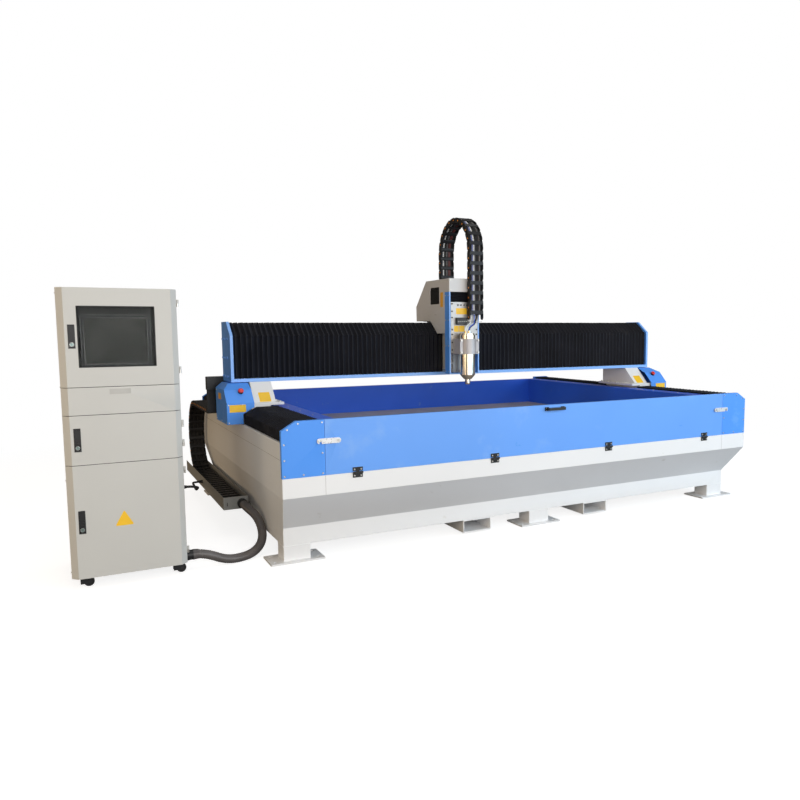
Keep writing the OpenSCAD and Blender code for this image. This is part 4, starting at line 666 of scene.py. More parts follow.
def screws(name, body, places, r=5.0, height=3.5, finish_name="plated_steel"):
    """Screws with their heads at the given places, each (place, outward direction)"""
    seated = [(Vector(p) + Vector(d).normalized() * height * 0.5, Vector(d)) for p, d in places]
    return run_tree(SCREWS, seated, "out", {
        "Head Radius": r / 1000, "Head Height": height / 1000, "Socket Share": SOCKET_SHARE,
        "Sides": HEAD_SIDES, "Seed": ROLL_SEED, "Finish": FINISHES[finish_name]},
        name, finish_name, body)


def part_mesh(build):
    """A part for the tree of copies, in metres about its own origin"""
    mesh = bmesh.new()
    build(mesh)
    bmesh.ops.remove_doubles(mesh, verts=mesh.verts, dist=1e-6)
    bmesh.ops.recalc_face_normals(mesh, faces=mesh.faces)
    data = bpy.data.meshes.new("link_part")
    mesh.to_mesh(data)
    mesh.free()
    part = bpy.data.objects.new("link_part", data)
    bpy.context.scene.collection.objects.link(part)
    return part


def copies(name, body, part, places, finish_name, replaces=()):
    """Copies of a part at the given places, each (place, Euler angles)"""
    return run_tree(COPIES, places, "turn", {"Part": part, "Size": 1.0,
                    "Finish": FINISHES[finish_name]}, name, finish_name, body, replaces=replaces)


# ---------------------------------------------------------------- pleated covers

def side_normal(a, b):
    length = math.hypot(b[0] - a[0], b[1] - a[1])
    return ((b[1] - a[1]) / length, -(b[0] - a[0]) / length)


def fine_line(line, step):
    """A section line with points every step and its inward normal at each, corners mitred"""
    points, normals = [], []
    for i, (a, b) in enumerate(zip(line, line[1:])):
        n = side_normal(a, b)
        before = side_normal(line[i - 1], a) if i else n
        k = 1 + n[0] * before[0] + n[1] * before[1]
        points.append(a)
        normals.append(((n[0] + before[0]) / k, (n[1] + before[1]) / k))
        length = math.hypot(b[0] - a[0], b[1] - a[1])
        count = max(1, round(length / step))
        near = min(0.16, 6 / length)
        for t in sorted({near, 1 - near} | {j / count for j in range(1, count)}):
            points.append((a[0] + (b[0] - a[0]) * t, a[1] + (b[1] - a[1]) * t))
            normals.append(n)
    points.append(line[-1])
    normals.append(side_normal(line[-2], line[-1]))
    return points, normals


CLOTH_T, HEM_SHARE = 2.2, 0.475
# one fold: (share of its width, how deep it lies, 0 at the hem)
FOLD = [(0.0, 1.0), (0.07, 0.90), (0.27, 0.56), (0.44, 0.13), (HEM_SHARE, 0.0), (1 - HEM_SHARE, 0.0),
        (0.56, 0.13), (0.73, 0.56), (0.93, 0.90)]


def ease_back(f):
    """The t at which 3t^2 - 2t^3 is f"""
    return 0.5 - math.sin(math.asin(1 - 2 * f) / 3)


def even_share(u, lead):
    """Share of the moving end's travel at a fraction u of the length, even but for its two ends"""
    if u <= lead:
        t = u / lead * ease_back(lead / 2)
        return t * t * (3 - 2 * t)
    if u >= 1 - lead:
        return 1 - even_share(1 - u, lead)
    return lead / 2 + (u - lead) * (1 - lead) / (1 - 2 * lead)


def bellows(name, axis, s0, s1, line, pitch, depth, moving_first=False, lead=0.1,
            shares=(0.075, 0.11, 0.165, 0.25, 0.5, 0.75, 0.835, 0.89, 0.925), step=75.0,
            replaces=()):
    """A pleated cloth cover, made in strips along its length"""
    folds = max(2, round((s1 - s0) / pitch))
    width = (s1 - s0) / folds
    points, normals = fine_line(line, step)
    waver = random.Random(7)
    jitter = [waver.uniform(-0.05, 0.05) for _ in range(folds)]
    droop = [waver.uniform(0.0, 0.16) for _ in range(folds)]

    def ring(i, share, d):
        s = s0 + (i + share + jitter[i] * 4 * share * (1 - share)) * width if i < folds else s1
        rise = depth * (d + (1 - d) * (droop[i] if i < folds else 0) * 0.5)
        outer, inner = [], []
        for j, (p, n) in enumerate(zip(points, normals)):
            wave = 0.035 * width * math.sin(j * 1.9 + i * 0.8) * 4 * share * (1 - share)
            for d_in, store in ((rise, outer), (rise + CLOTH_T, inner)):
                q = (p[0] + n[0] * d_in, p[1] + n[1] * d_in)
                store.append({"x": (s + wave, q[0], q[1]), "y": (q[0], s + wave, q[1]),
                              "z": (q[0], q[1], s + wave)}[axis])
        return outer + inner[::-1]

    def u_of(i):
        return 1 - i / folds if moving_first else i / folds

    cuts = {0, folds}
    for w in [lead / 2, 1 - lead / 2] + list(shares):
        u = lead + (w - lead / 2) * (1 - 2 * lead) / (1 - lead)
        cuts.add(round((1 - u if moving_first else u) * folds))
    cuts = sorted(cuts)
    for k, (i0, i1) in enumerate(zip(cuts, cuts[1:])):
        piece = Piece(f"{name}_{k:02d}", "bellows_cloth", None)
        piece.use("bellows_hem")
        piece.use("bellows_cloth")
        rings, marks = [], []
        for i in range(i0, i1):
            for share, d in FOLD:
                rings.append(ring(i, share, d))
                marks.append(share == HEM_SHARE)
        rings.append(ring(i1, 0.0, 1.0))
        rows = piece.loft(rings)
        hems = {v for j, m in enumerate(marks) if m for r in (rows[j], rows[j + 1]) for v in r}
        for f in piece.mesh.faces:
            if len(f.verts) == 4 and all(v in hems for v in f.verts):
                f.material_index = 1
        strip = piece.done(smooth=50, ride=False, replaces=replaces)
        w0, w1 = even_share(u_of(i0), lead), even_share(u_of(i1), lead)
        x0, x1 = s0 + i0 * width, s0 + i1 * width
        t0, t1 = ease_back(w0), ease_back(w1)
        length = (x1 - x0) / (t1 - t0)
        place = "xyz".index(axis)
        start, end = [0.0, 0.0, 0.0], [0.0, 0.0, 0.0]
        start[place], end[place] = x0 - t0 * length, x0 - t0 * length + length
        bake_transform(strip)


FOLD_PITCH, FOLD_DEPTH = 40, 18
GANTRY_LINE = [(1236, 1118), (1236, 1436), (1358, 1535), (1503, 1535)]
bellows("gantry_bellows_left", "x", -2013.7, -265.3, GANTRY_LINE, FOLD_PITCH, FOLD_DEPTH,
        replaces="gantry_bellows")
bellows("gantry_bellows_right", "x", -114.7, 2013.7, GANTRY_LINE, FOLD_PITCH, FOLD_DEPTH,
        moving_first=True)
SIDE_LEFT = [(-1990, 797), (-1990, 869), (-1902, 920), (-1738, 920), (-1738, 797)]
SIDE_RIGHT = [(-x, z) for x, z in reversed(SIDE_LEFT)]
for side, line in (("left", SIDE_LEFT), ("right", SIDE_RIGHT)):
    bellows(f"{side}_bellows_front", "y", 30.3, 1059.7, line, FOLD_PITCH, FOLD_DEPTH,
            replaces="side_bellows")
    bellows(f"{side}_bellows_rear", "y", 1560.3, 2769.7, line, FOLD_PITCH, FOLD_DEPTH,
            moving_first=True)
bellows("head_bellows_cloth", "z", 1697.3, 1778.7, [(-64, 1026), (-64, 1001), (-316, 1001),
        (-316, 1026)], 12, 8, lead=0.2, shares=(0.5,), step=60,
        replaces="head_bellows")

# ---------------------------------------------------------------- cable chains

LINK_P, LINK_H, CHAIN_W, BUTTON_R = 80.0, 46.0, 130.0, 6.5


def plate(mesh, x0, x1, outline):
    """A flat plate across x0..x1 with an outline in y and z, in millimetres"""
    skin(mesh, [[(x / 1000, y / 1000, z / 1000) for y, z in outline] for x in (x0, x1)])


def half_round(y, r, side, cut):
    """Arc about (y, 0) that closes a plate's end, on one side"""
    return [(y + side * r * math.cos(a), r * math.sin(a) * side)
            for a in (math.radians(-90 + 180 * i / cut) for i in range(cut + 1))]


def link_plates(mesh):
    """Both side plates of a link: an inner eye behind, an outer eye ahead, and a stepped web"""
    r = LINK_H / 2 - 1.5
    inner = half_round(8, r * 0.86, -1, 6) + [(46, -r), (46, r)]
    outer = half_round(LINK_P, r, 1, 8)
    outer = outer + [(38, r), (33, r - 5), (33, -r + 5), (38, -r)]
    waist = [(26, -r + 3), (54, -r + 3), (54, r - 3), (26, r - 3)]
    for side in (0, 1):
        def at(a, b):
            return (a, b) if side == 0 else (CHAIN_W - b, CHAIN_W - a)
        plate(mesh, *at(4.2, 8.0), inner)
        plate(mesh, *at(0.6, 4.0), outer)
        plate(mesh, *at(0.0, 4.4), waist)
    for z0, z1 in ((LINK_H / 2 - 6, LINK_H / 2), (-LINK_H / 2, -LINK_H / 2 + 6)):
        plate(mesh, 3.0, CHAIN_W - 3.0, [(25, z0), (55, z0), (55, z1 - 1.5), (52, z1), (28, z1),
                                         (25, z1 - 1.5)])
    for x in (CHAIN_W / 3, CHAIN_W * 2 / 3):
        plate(mesh, x - 1.5, x + 1.5, [(30, -LINK_H / 2 + 5), (50, -LINK_H / 2 + 5),
                                       (50, LINK_H / 2 - 5), (30, LINK_H / 2 - 5)])


def link_pins(mesh):
    """The snap buttons of a link's joints"""
    for x0, x1 in ((-1.2, 3.0), (CHAIN_W - 3.0, CHAIN_W + 1.2)):
        plate(mesh, x0, x1, [(LINK_P + BUTTON_R * math.cos(t), BUTTON_R * math.sin(t))
                             for t in (2 * math.pi * i / 12 for i in range(12))])


def link_caps(mesh):
    """The catches of the opening bars"""
    for x0, x1 in ((8.0, 15.0), (CHAIN_W - 15.0, CHAIN_W - 8.0)):
        for z0, z1 in ((LINK_H / 2 - 2, LINK_H / 2 + 1.2), (-LINK_H / 2 - 1.2, -LINK_H / 2 + 2)):
            plate(mesh, x0, x1, [(33, z0), (47, z0), (47, z1), (33, z1)])


PLATES, PINS, CAPS = part_mesh(link_plates), part_mesh(link_pins), part_mesh(link_caps)
# a chain's bend has its middle (y, z) and its radius
SIDE_X, SIDE_BEND, SIDE_R, SIDE_BEND_LINKS = -2152.0, (2330.0, 546.4), 306.4, 12
SIDE_LOW_Z, SIDE_TOP_Z, SIDE_LOW_Y, SIDE_TOP_Y = 240.0, 852.9, 970, 1610
SIDE_LOW_LINKS, SIDE_TOP_LINKS = 17, 9
HEAD_X, HEAD_BEND, HEAD_R, HEAD_BEND_LINKS = -170.0, (1220.7, 2132.0), 255.7, 10
HEAD_REAR_Y, HEAD_FRONT_Y, HEAD_REAR_LINKS, HEAD_FRONT_LINKS = 1476.4, 965, 3, 7


def bend_places(x, middle, r, n, k0, k1, a0):
    """Where the links of a bend stand: link k starts at angle a0 + 180 k / n"""
    places = []
    for k in range(k0, k1):
        a = math.radians(a0 + 180 * k / n)
        places.append(((x, middle[0] + r * math.cos(a), middle[1] + r * math.sin(a)),
                       (a + math.radians(90 + 90 / n), 0, 0)))
    return places


CHAINS = {
    "side_chain_low": ("bed", [((SIDE_X, SIDE_LOW_Y + LINK_P * i, SIDE_LOW_Z), (0, 0, 0))
                               for i in range(SIDE_LOW_LINKS)]),
    "side_bend_low": ("chain_bend_low", bend_places(SIDE_X, SIDE_BEND, SIDE_R, SIDE_BEND_LINKS, 0,
                                                    SIDE_BEND_LINKS // 2, -90)),
    "side_bend_top": ("chain_bend_top", bend_places(SIDE_X, SIDE_BEND, SIDE_R, SIDE_BEND_LINKS,
                                                    SIDE_BEND_LINKS // 2, SIDE_BEND_LINKS, -90)),
    "side_chain_top": ("gantry", [((SIDE_X, SIDE_TOP_Y + LINK_P * i, SIDE_TOP_Z), (0, 0, 0))
                                  for i in range(SIDE_TOP_LINKS)]),
    "head_chain": ("head", [((HEAD_X, HEAD_REAR_Y, 1892 + LINK_P * i), (math.pi / 2, 0, 0))
                            for i in range(HEAD_REAR_LINKS)]
                   + bend_places(HEAD_X, HEAD_BEND, HEAD_R, HEAD_BEND_LINKS, 0, HEAD_BEND_LINKS, 0)
                   + [((HEAD_X, HEAD_FRONT_Y, HEAD_BEND[1] - LINK_P * i), (-math.pi / 2, 0, 0))
                      for i in range(HEAD_FRONT_LINKS)]),
}
BEND_START = (0, SIDE_BEND[0], 0)
CHAIN_BLENDS = {"side_chain_low": ("bed", "chain_bend_low", (0, SIDE_LOW_Y, 0), BEND_START),
                "side_chain_top": ("gantry", "chain_bend_top", (0, SIDE_TOP_Y, 0), BEND_START),
                "head_chain": ("head", "head_slide", (0, 1452, 0), (0, 990, 0))}


def arc(x, middle, r, a0, a1):
    """Points of a lead's arc in a bend, one every 6 degrees or so"""
    count = max(2, round(abs(a1 - a0) / 6))
    return [(x, middle[0] + r * math.cos(math.radians(a0 + (a1 - a0) * i / count)),
             middle[1] + r * math.sin(math.radians(a0 + (a1 - a0) * i / count)))
            for i in range(count + 1)]


# leads inside the head's chain: (across the chain, off its middle, radius, finish)
LEADS = [(17, 7, 7, "black_rubber"), (18, -10, 5, "black_rubber"), (31, 9, 5, "white_line"),
         (33, -7, 6, "lead_blue"), (46, -9, 5, "white_line"), (50, 6, 8, "black_rubber"),
         (66, 5, 7, "grey_hose"), (68, -11, 5, "black_rubber"), (82, -7, 8, "black_rubber"),
         (84, 9, 5, "lead_maroon"), (97, 5, 6, "lead_maroon"), (99, -9, 5, "grey_hose"),
         (112, -2, 8, "black_rubber")]
# black leads inside the side chain: (across the chain, off its middle, radius)
DARK_LEADS = [(12, 6, 8), (14, -11, 7), (29, -1, 9), (44, 9, 8), (46, -9, 8), (61, 0, 9), (76, 9, 8),
              (78, -9, 8), (93, 1, 9), (108, 9, 8), (110, -9, 8), (122, 1, 6)]


def lead_line(chain, across_chain, off_middle):
    """Route of a lead inside a chain"""
    x = (HEAD_X if chain == "head_chain" else SIDE_X) + across_chain
    if chain == "side_chain_low":
        return [(x, SIDE_LOW_Y + 2 + 40 * i, SIDE_LOW_Z + off_middle) for i in range(35)]
    if chain == "side_chain_top":
        return [(x, SIDE_TOP_Y + 4 + 40 * i, SIDE_TOP_Z - off_middle) for i in range(18)] + [
            (x, SIDE_BEND[0], SIDE_TOP_Z - off_middle)]
    if chain == "side_bend_low":
        return arc(x, SIDE_BEND, SIDE_R - off_middle, -90, 0)
    if chain == "side_bend_top":
        return arc(x, SIDE_BEND, SIDE_R - off_middle, 0, 90)
    rear = [(x, HEAD_REAR_Y - off_middle, 1894 + 34 * i) for i in range(7)]
    front = [(x, HEAD_FRONT_Y + off_middle, 2112 - 40 * i) for i in range(14)]
    return rear + arc(x, HEAD_BEND, HEAD_R - off_middle, 0, 180) + front


for chain, (body, places) in CHAINS.items():
    blended = CHAIN_BLENDS.get(chain)
    parts = [copies(chain + "_links", None, PLATES, places, "black_nylon", replaces=chain),
             copies(chain + "_buttons", None, PINS, places, "orange_pin"),
             copies(chain + "_catches", None, CAPS, places, "black_plastic")]
    leads = LEADS if chain == "head_chain" else [(*lead, "black_rubber") for lead in DARK_LEADS]
    for number, (across_chain, off_middle, r, look) in enumerate(leads):
        lead = Piece(f"{chain}_lead_{number}", look, None)
        lead.sweep(lead_line(chain, across_chain, off_middle), r, 8, up=(1, 0, 0))
        parts.append(lead.done(smooth=60, ride=False))
    for part in parts:
        if blended:
            a, b, start, end = blended
            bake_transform(part)
        else:
            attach(part, body)
for part in (PLATES, PINS, CAPS):
    bpy.data.objects.remove(part)

# ---------------------------------------------------------------- small forms

LABEL_T, LABEL_CORNER, CORNER_STEPS = 0.6, 4.0, 4


def label(piece, centre, u, v, w, h):
    """A thin plate with rounded corners on a face; u and v lie in the face, u x v points out"""
    u, v = Vector(u).normalized(), Vector(v).normalized()
    n = u.cross(v)
    outline = []
    for sx, sy, a0 in ((1, -1, -90), (1, 1, 0), (-1, 1, 90), (-1, -1, 180)):
        for i in range(CORNER_STEPS + 1):
            a = math.radians(a0 + 90 * i / CORNER_STEPS)
            outline.append((sx * (w / 2 - LABEL_CORNER) + LABEL_CORNER * math.cos(a),
                            sy * (h / 2 - LABEL_CORNER) + LABEL_CORNER * math.sin(a)))
    c = Vector(centre)
    piece.loft([[c + u * x + v * y + n * d for x, y in outline] for d in (-0.4, LABEL_T)])


def frame_plate(piece, y0, y1, outer, inner):
    """A rectangular frame in x and z with depth in y; outer and inner are (x0, x1, z0, z1)"""
    (x0, x1, z0, z1), (a0, a1, b0, b1) = outer, inner
    piece.block((x0, y0, z0), (x1, y1, b0))
    piece.block((x0, y0, b1), (x1, y1, z1))
    piece.block((x0, y0, b0), (a0, y1, b1))
    piece.block((a1, y0, b0), (x1, y1, b1))


# ---------------------------------------------------------------- bed

def bed_finish(n, p):
    """The sloped faces below the bed's front and rear face downwards and get a greyer finish of
    painted shade
    """
    sloped = n.z < -0.5 and abs(n.y) > 0.5 and 200 < p[2] < 480
    return "skirt_painted_shade" if sloped else "bed_white"


def door_set_finish(n, p):
    """The tank door's leaf is blue with a painted sheen, its hinge leaves black and its latch pivots
    plated
    """
    if p[1] > -0.5:
        return "door_blue_and_sheen"
    return "black_paint" if p[2] < 640 else "plated_steel"


def tray_finish(n, p):
    """The chain's tray is grey, the collar of the hose and the gland of the cable are black"""
    black = p[1] < 965.5 or (p[0] < -2172.5 and p[1] > 1800)
    return "black_plastic" if black else "tray_grey"


refined("bed_frame", ["bed_white", "skirt_painted_shade"], bevel=3.0, pick=bed_finish)
refined("foot_plates", "bed_white", bevel=1.5)
refined("fork_channels", "bed_white", bevel=3.0)
refined("table_top", "cast_table", bevel=2.0)
refined("tank_lining", "lining_blue", bevel=2.0)
refined("end_caps", ["tank_blue", "plated_steel"], bevel=1.8,
        pick=lambda n, p: "plated_steel" if p[1] < -0.5 else "tank_blue")
refined("tank_door", ["door_blue_and_sheen", "black_paint", "plated_steel"], bevel=1.8,
        pick=door_set_finish)
refined("hinge_leaves", "black_paint", bevel=0.6)
refined("door_handle", "black_paint", bevel=3.0, segments=3)
for node in ("latch_left", "latch_right"):
    refined(node, "latch_nickel", bevel=1.2)
refined("chain_tray", ["tray_grey", "black_plastic"], bevel=1.2, pick=tray_finish)

bed_seams = Piece("bed_seams", "seam_shade", "bed")
for side in (-1, 1):
    x = side * 2000
    bed_seams.block((min(x, x + side * 0.5), 34, 688.6), (max(x, x + side * 0.5), 2766, 691.0))
for x, w in ((-1730, 2), (1730, 2)):
    bed_seams.block((x - w / 2, -0.4, 455), (x + w / 2, 0, 577))
bed_seams.done()

welds = Piece("leg_welds", "bed_white", "bed")
leg_middles = [(x, y) for x in (-1867.5, 0, 1867.5) for y in (260, 2540)]
for x, y in leg_middles:
    for z, r in ((13.5, 3.2), (105.5, 3.0)):
        corners = [(x - 87, y - 69.5), (x + 87, y - 69.5), (x + 87, y + 69.5), (x - 87, y + 69.5)]
        for a, b in zip(corners, corners[1:] + corners[:1]):
            line = [Vector((*a, z)).lerp(Vector((*b, z)), i / 18) for i in range(19)]
            welds.sweep(line, [r * (1.0 if i % 2 else 0.86) for i in range(19)], 8)
welds.done(smooth=60)

cap_screws = []
for side in (-1, 1):
    cap_screws += [((side * x, 0, z), (0, -1, 0)) for x, z in (
        (1746, 594), (1868, 594), (1984, 594), (1984, 690), (1984, 786), (1962, 876),
        (1896, 909), (1746, 909), (1746, 720))]
    cap_screws += [((side * x, 2800, z), (0, 1, 0)) for x, z in (
        (1746, 594), (1868, 594), (1984, 594), (1984, 786), (1962, 876), (1896, 909), (1746, 909))]
screws("cap_screws", "bed", cap_screws, r=5.5, height=3.2)
hinge_x = [s * x for x in (507, 1520) for s in (-1, 1)]
screws("hinge_screws_bed", "bed", [((x + d, -4, 558), (0, -1, 0)) for x in hinge_x
                                   for d in (-22, 22)], r=5.2, height=2.6)
screws("hinge_screws_door", "front_door", [((x + d, -4, 598), (0, -1, 0)) for x in hinge_x
                                           for d in (-22, 22)], r=5.2, height=2.6)
screws("handle_screws", "front_door", [((x, -12, z), (0, -1, 0)) for x in (-80, 80)
                                       for z in (889, 905)], r=2.6, height=1.6)
screws("latch_screws", "front_door", [((s * 1645, -13, 793), (0, -1, 0)) for s in (-1, 1)],
       r=6.5, height=3.0)
screws("lining_screws", "bed", [((x, y, 905), (0, 0, 1)) for x in (-1665, 1665)
                                for y in range(150, 2700, 300)], r=5.0, height=2.6)

# ---------------------------------------------------------------- gantry

def sheet_finish(n, p):
    """Blue sheet, paler on the edges that face the front, where the paler blue is painted light"""
    return "pale_blue_and_lit_edge" if n.y < -0.6 else "tank_blue"


refined("gantry_beam", "gantry_white", bevel=6.0, segments=3)
refined("gantry_surround", ["tank_blue", "pale_blue_and_lit_edge"], bevel=1.5, pick=sheet_finish)
refined("gantry_feet", "gantry_white", bevel=2.5)
refined("side_covers", "tank_blue", bevel=2.0)
refined("side_running_gear", ["plated_steel", "black_paint"], bevel=1.5,
        pick=lambda n, p: "black_paint" if p[0] < -1900 and p[1] > 1530 else "plated_steel")
refined("cable_duct", "gantry_white", bevel=1.5)
screws("gantry_end_screws", "gantry", [((s * 2036, y, z), (s, 0, 0)) for s in (-1, 1)
       for y in (1330, 1415, 1500) for z in (1130, 1270, 1410)], r=9.0, height=6.0,
       finish_name="pale_blue_and_lit_edge")
screws("foot_screws", "gantry", [((s * 1716, y, 945), (0, 0, 1)) for s in (-1, 1)
       for y in (1080, 1200, 1320, 1440, 1540)], r=8.0, height=7.0)
screws("cover_screws", "gantry", [((s * x, 1040, z), (0, -1, 0)) for s in (-1, 1)
       for x, z in ((2098, 812), (2098, 940), (2002, 940))]
       + [((s * 2110, y, z), (s, 0, 0)) for s in (-1, 1) for y, z in
          ((1056, 812), (1430, 812), (1430, 1030), (1245, 812))], r=4.5, height=2.6)
marks = Piece("gantry_label_plates", "label_yellow", "gantry")
slope = Vector((0, 144, 145)).normalized()
for side in (-1, 1):
    label(marks, (side * 2034, 1040, 914), (1, 0, 0), (0, 0, 1), 116, 54)
    label(marks, (side * 1820, 1120.5, 981.8), (1, 0, 0), slope, 84, 92)
marks.use("label_orange")
label(marks, (-2110, 1300, 990), (0, -1, 0), (0, 0, 1), 104, 46)
label(marks, (2110, 1300, 990), (0, 1, 0), (0, 0, 1), 104, 46)
marks.done()

for side, name in ((-1, "left"), (1, "right")):
    base, axis = Vector((side * 1995, 1113, 1026)), Vector((0, -1, 1)).normalized()
    button = Piece(f"stop_button_{name}_mushroom", "red_plastic", f"{name}_stop_button")
    button.turned(base, axis, [(-18, 0.5), (-18, 11), (-14, 11), (-14, 8), (12.5, 8), (12.5, 17),
                               (13.5, 19.2), (15, 20), (19, 20), (21, 19.4), (23, 17.4),
                               (24.4, 13.5), (25, 8), (25, 0.5)], 40)
    button.done(replaces=f"stop_button_{name}")
    collar = Piece(f"stop_collar_{name}", "black_plastic", "gantry")
    collar.turned(base, axis, [(0.0, 8.4), (0.0, 19), (3.4, 19), (4.4, 18), (4.4, 14.2), (5.6, 14.2),
                               (6.1, 13.4), (6.1, 8.4), (0.0, 8.4)], 40)
    collar.done()

# ---------------------------------------------------------------- head

refined("head_saddle", "cover_grey", bevel=2.0)
refined("motor_cover", "cover_grey", bevel=3.0, segments=3)
refined("head_side_covers", ["tank_blue", "pale_blue_and_lit_edge"], bevel=1.5, pick=sheet_finish)
refined("head_rails", "ground_steel", bevel=1.0)
refined("drive_motors", "black_paint", bevel=2.5)
refined("head_plate", "plate_alloy", bevel=1.2)
refined("spindle_clamp", "clamp_alloy", bevel=2.5, segments=3)
refined("collet_nut", "stainless", bevel=0.8)


SLAT_L, SLAT_PITCH, SLATS = 163, 12.2, 11
PLATE_FACE_Y, COVER_FACE_X = 1000, -330


def slat(mesh):
    """One louvre of the vent in the motor cover"""
    profile = [(-1, -6), (0.5, -6), (9, 6), (7.5, 6)]
    skin(mesh, [[(x / 1000, y / 1000, z / 1000) for x, z in profile] for y in (0, SLAT_L)])


SLAT = part_mesh(slat)
copies("vent_louvres", "head", SLAT, [((-328.5, 1182, 1694 + SLAT_PITCH * i), (0, 0, 0))
                                      for i in range(SLATS)], "black_paint")
bpy.data.objects.remove(SLAT)
# painted shade: a dark sheet behind the louvres stands in for the shade inside the motor cover
vent = Piece("vent_back", "painted_shade_dark", "head")
vent.block((-319.4, 1178, 1683), (-318.2, 1349, 1829))
vent.done()
head_marks = Piece("head_label_plates", "label_orange", "head")
label(head_marks, (COVER_FACE_X, 1134, 1720), (0, -1, 0), (0, 0, 1), 50, 120)
head_marks.done()
plate_marks = Piece("plate_label_plates", "label_yellow", "head_slide")
for x, z, w, h in ((-217, 1622, 100, 50), (-265, 1479, 44, 50), (-214, 1479, 50, 50)):
    label(plate_marks, (x, PLATE_FACE_Y, z), (1, 0, 0), (0, 0, 1), w, h)
plate_marks.done()
screws("plate_screws", "head_slide", [((x, PLATE_FACE_Y, z), (0, -1, 0)) for x in (-305, -76)
       for z in (1682, 1621, 1570, 1472, 1433, 1368, 1306)]
       + [((x, PLATE_FACE_Y, 1672), (0, -1, 0)) for x in (-250, -222, -194, -166)],
       r=6.0, height=5.0, finish_name="black_paint")
screws("clamp_screws", "head_slide", [((x, 886, z), (0, -1, 0)) for x in (-280, -124)
                                      for z in (1287, 1383)], r=7.0, height=6.0)
screws("motor_cover_screws", "head", [((x, 1000, z), (0, -1, 0)) for z in (1872, 1795)
                                      for x in (-316, -64)]
       + [((COVER_FACE_X, y, z), (-1, 0, 0)) for y, z in (
          (1016, 1872), (1016, 1795), (1400, 1872), (1380, 1600), (1250, 1600))],
       r=4.5, height=2.6)
screws("head_cover_screws", "head", [((x, y, z), (s, 0, 0))
       for x, s in ((COVER_FACE_X, -1), (-50, 1))
       for y in (1014, 1066) for z in (1130, 1340, 1550, 1750)], r=4.5, height=2.6)

SPINDLE_X, SPINDLE_Y = -202, 927
spindle = Piece("spindle_turned", "stainless", "head_slide")
spindle.turned((SPINDLE_X, SPINDLE_Y, 1068), (0, 0, 1), [
    (0, 20.6), (0, 30), (2, 32), (10, 40), (34, 60.5), (36.5, 62.5), (60, 62.5), (61, 61.4),
    (63, 61.4), (64, 62.5), (322, 62.5), (323, 61.4), (325, 61.4), (326, 62.5), (359, 62.5),
    (361, 60.5), (361, 54.5), (371.5, 54.5), (373, 53), (373, 0.5)], 72)
spindle.use("brass")
for dx in (-28, 4):
    spindle.turned((SPINDLE_X + dx, SPINDLE_Y - 16, 1440), (0, 0, 1), [
        (0, 9.5), (9, 9.5), (10, 8.5), (10, 6.2), (13, 6.2), (14, 7), (17, 7), (18, 6), (23, 6),
        (23, 0.4)], 24)
spindle.use("plated_steel")
spindle.turned((SPINDLE_X + 26, SPINDLE_Y + 18, 1440), (0, 0, 1), [
    (0, 15.5), (5, 15.5), (6, 14), (6, 12.6), (16, 12.6), (17, 13.5), (24, 13.5), (25, 12.5),
    (25, 0.5)], 32)
spindle.done(smooth=28, replaces="spindle_body")
screws("spindle_cap_screws", "head_slide",
       [((SPINDLE_X + 48 * math.cos(a), SPINDLE_Y + 48 * math.sin(a), 1441), (0, 0, 1))
        for a in (2 * math.pi * i / 6 + 0.9 for i in range(6))], r=4.0, height=4.0)

# leads of the spindle: (finish, radius, route)
LINES = [("white_line", 4.0, [(-230, 911, 1463), (-230, 911, 1479), (-220, 919, 1495),
                              (-192, 935, 1509), (-162, 947, 1525), (-148, 955, 1574),
                              (-144, 957, 1606)]),
         ("blue_line", 4.0, [(-198, 911, 1463), (-198, 911, 1475), (-188, 917, 1491),
                             (-154, 929, 1509), (-132, 935, 1523), (-122, 955, 1574),
                             (-120, 957, 1606)]),
         ("black_rubber", 7.0, [(-176, 945, 1465), (-176, 945, 1479), (-160, 945, 1499),
                                (-124, 947, 1517), (-102, 953, 1566), (-96, 959, 1606)])]
lines = Piece("spindle_leads", "white_line", "head_slide")
for look, r, route in LINES:
    lines.use(look)
    lines.sweep(smoothed(along(route, 5.0), 6), r, 14, up=(0, 1, 0))
lines.use("black_plastic")
lines.block((-271, 976, 1511), (-174, 1000, 1570))
lines.use("mark_black")
for i in range(5):
    lines.block((-265 + i * 18.4, 975.2, 1516), (-251 + i * 18.4, 976.4, 1528))
lines.use("plated_steel")
for i in range(5):
    lines.rod((-258 + i * 18.4, 974.6, 1538), (-258 + i * 18.4, 976.2, 1538), 3.2, 14)
lines.done(bevel=0.8, smooth=45, replaces="spindle_lines")

thread = Piece("lifting_screw_thread", "ground_steel", "screw")
turns = [(0.0, 11.2)]
while turns[-1][0] < 640:
    s = turns[-1][0]
    turns += [(s + 2.4, 12.5), (s + 3.0, 12.5), (s + 5.0, 11.2)]
thread.turned((-190, 1050, 1122), (0, 0, 1), [(-4, 9)] + turns + [(647, 12.5), (647, 18.4),
              (667, 18.4), (667, 6)], 20)
thread.done(smooth=50, replaces="lifting_screw")

# ---------------------------------------------------------------- cabinet

LEAF_BACK_Y = 300


def door_finish(n, p):
    """A door is black in its lock's pocket, carries painted shade on its upper and lower edges, in the
    gaps between doors, and is cream elsewhere
    """
    if -3096 < p[0] < -3046 and 270.2 < p[1] < 288:
        return "black_plastic"
    if abs(n.z) > 0.9 and 80 < p[2] < 1700 and p[1] < LEAF_BACK_Y:
        return "painted_shade_dark"
    return "cabinet_cream"


def drawer_finish(n, p):
    """The drawer has a grey plate, a black keyboard, painted shade on the upper and lower edges of its
    front, in the gaps, and is cream elsewhere
    """
    if p[1] < 269.8:
        return "label_grey"
    if 379 < p[1] < 531 and 1009 < p[2] < 1032 and -3051 < p[0] < -2604:
        return "black_plastic"
    if abs(n.z) > 0.9 and p[1] < LEAF_BACK_Y:
        return "painted_shade_dark"
    return "cabinet_cream"


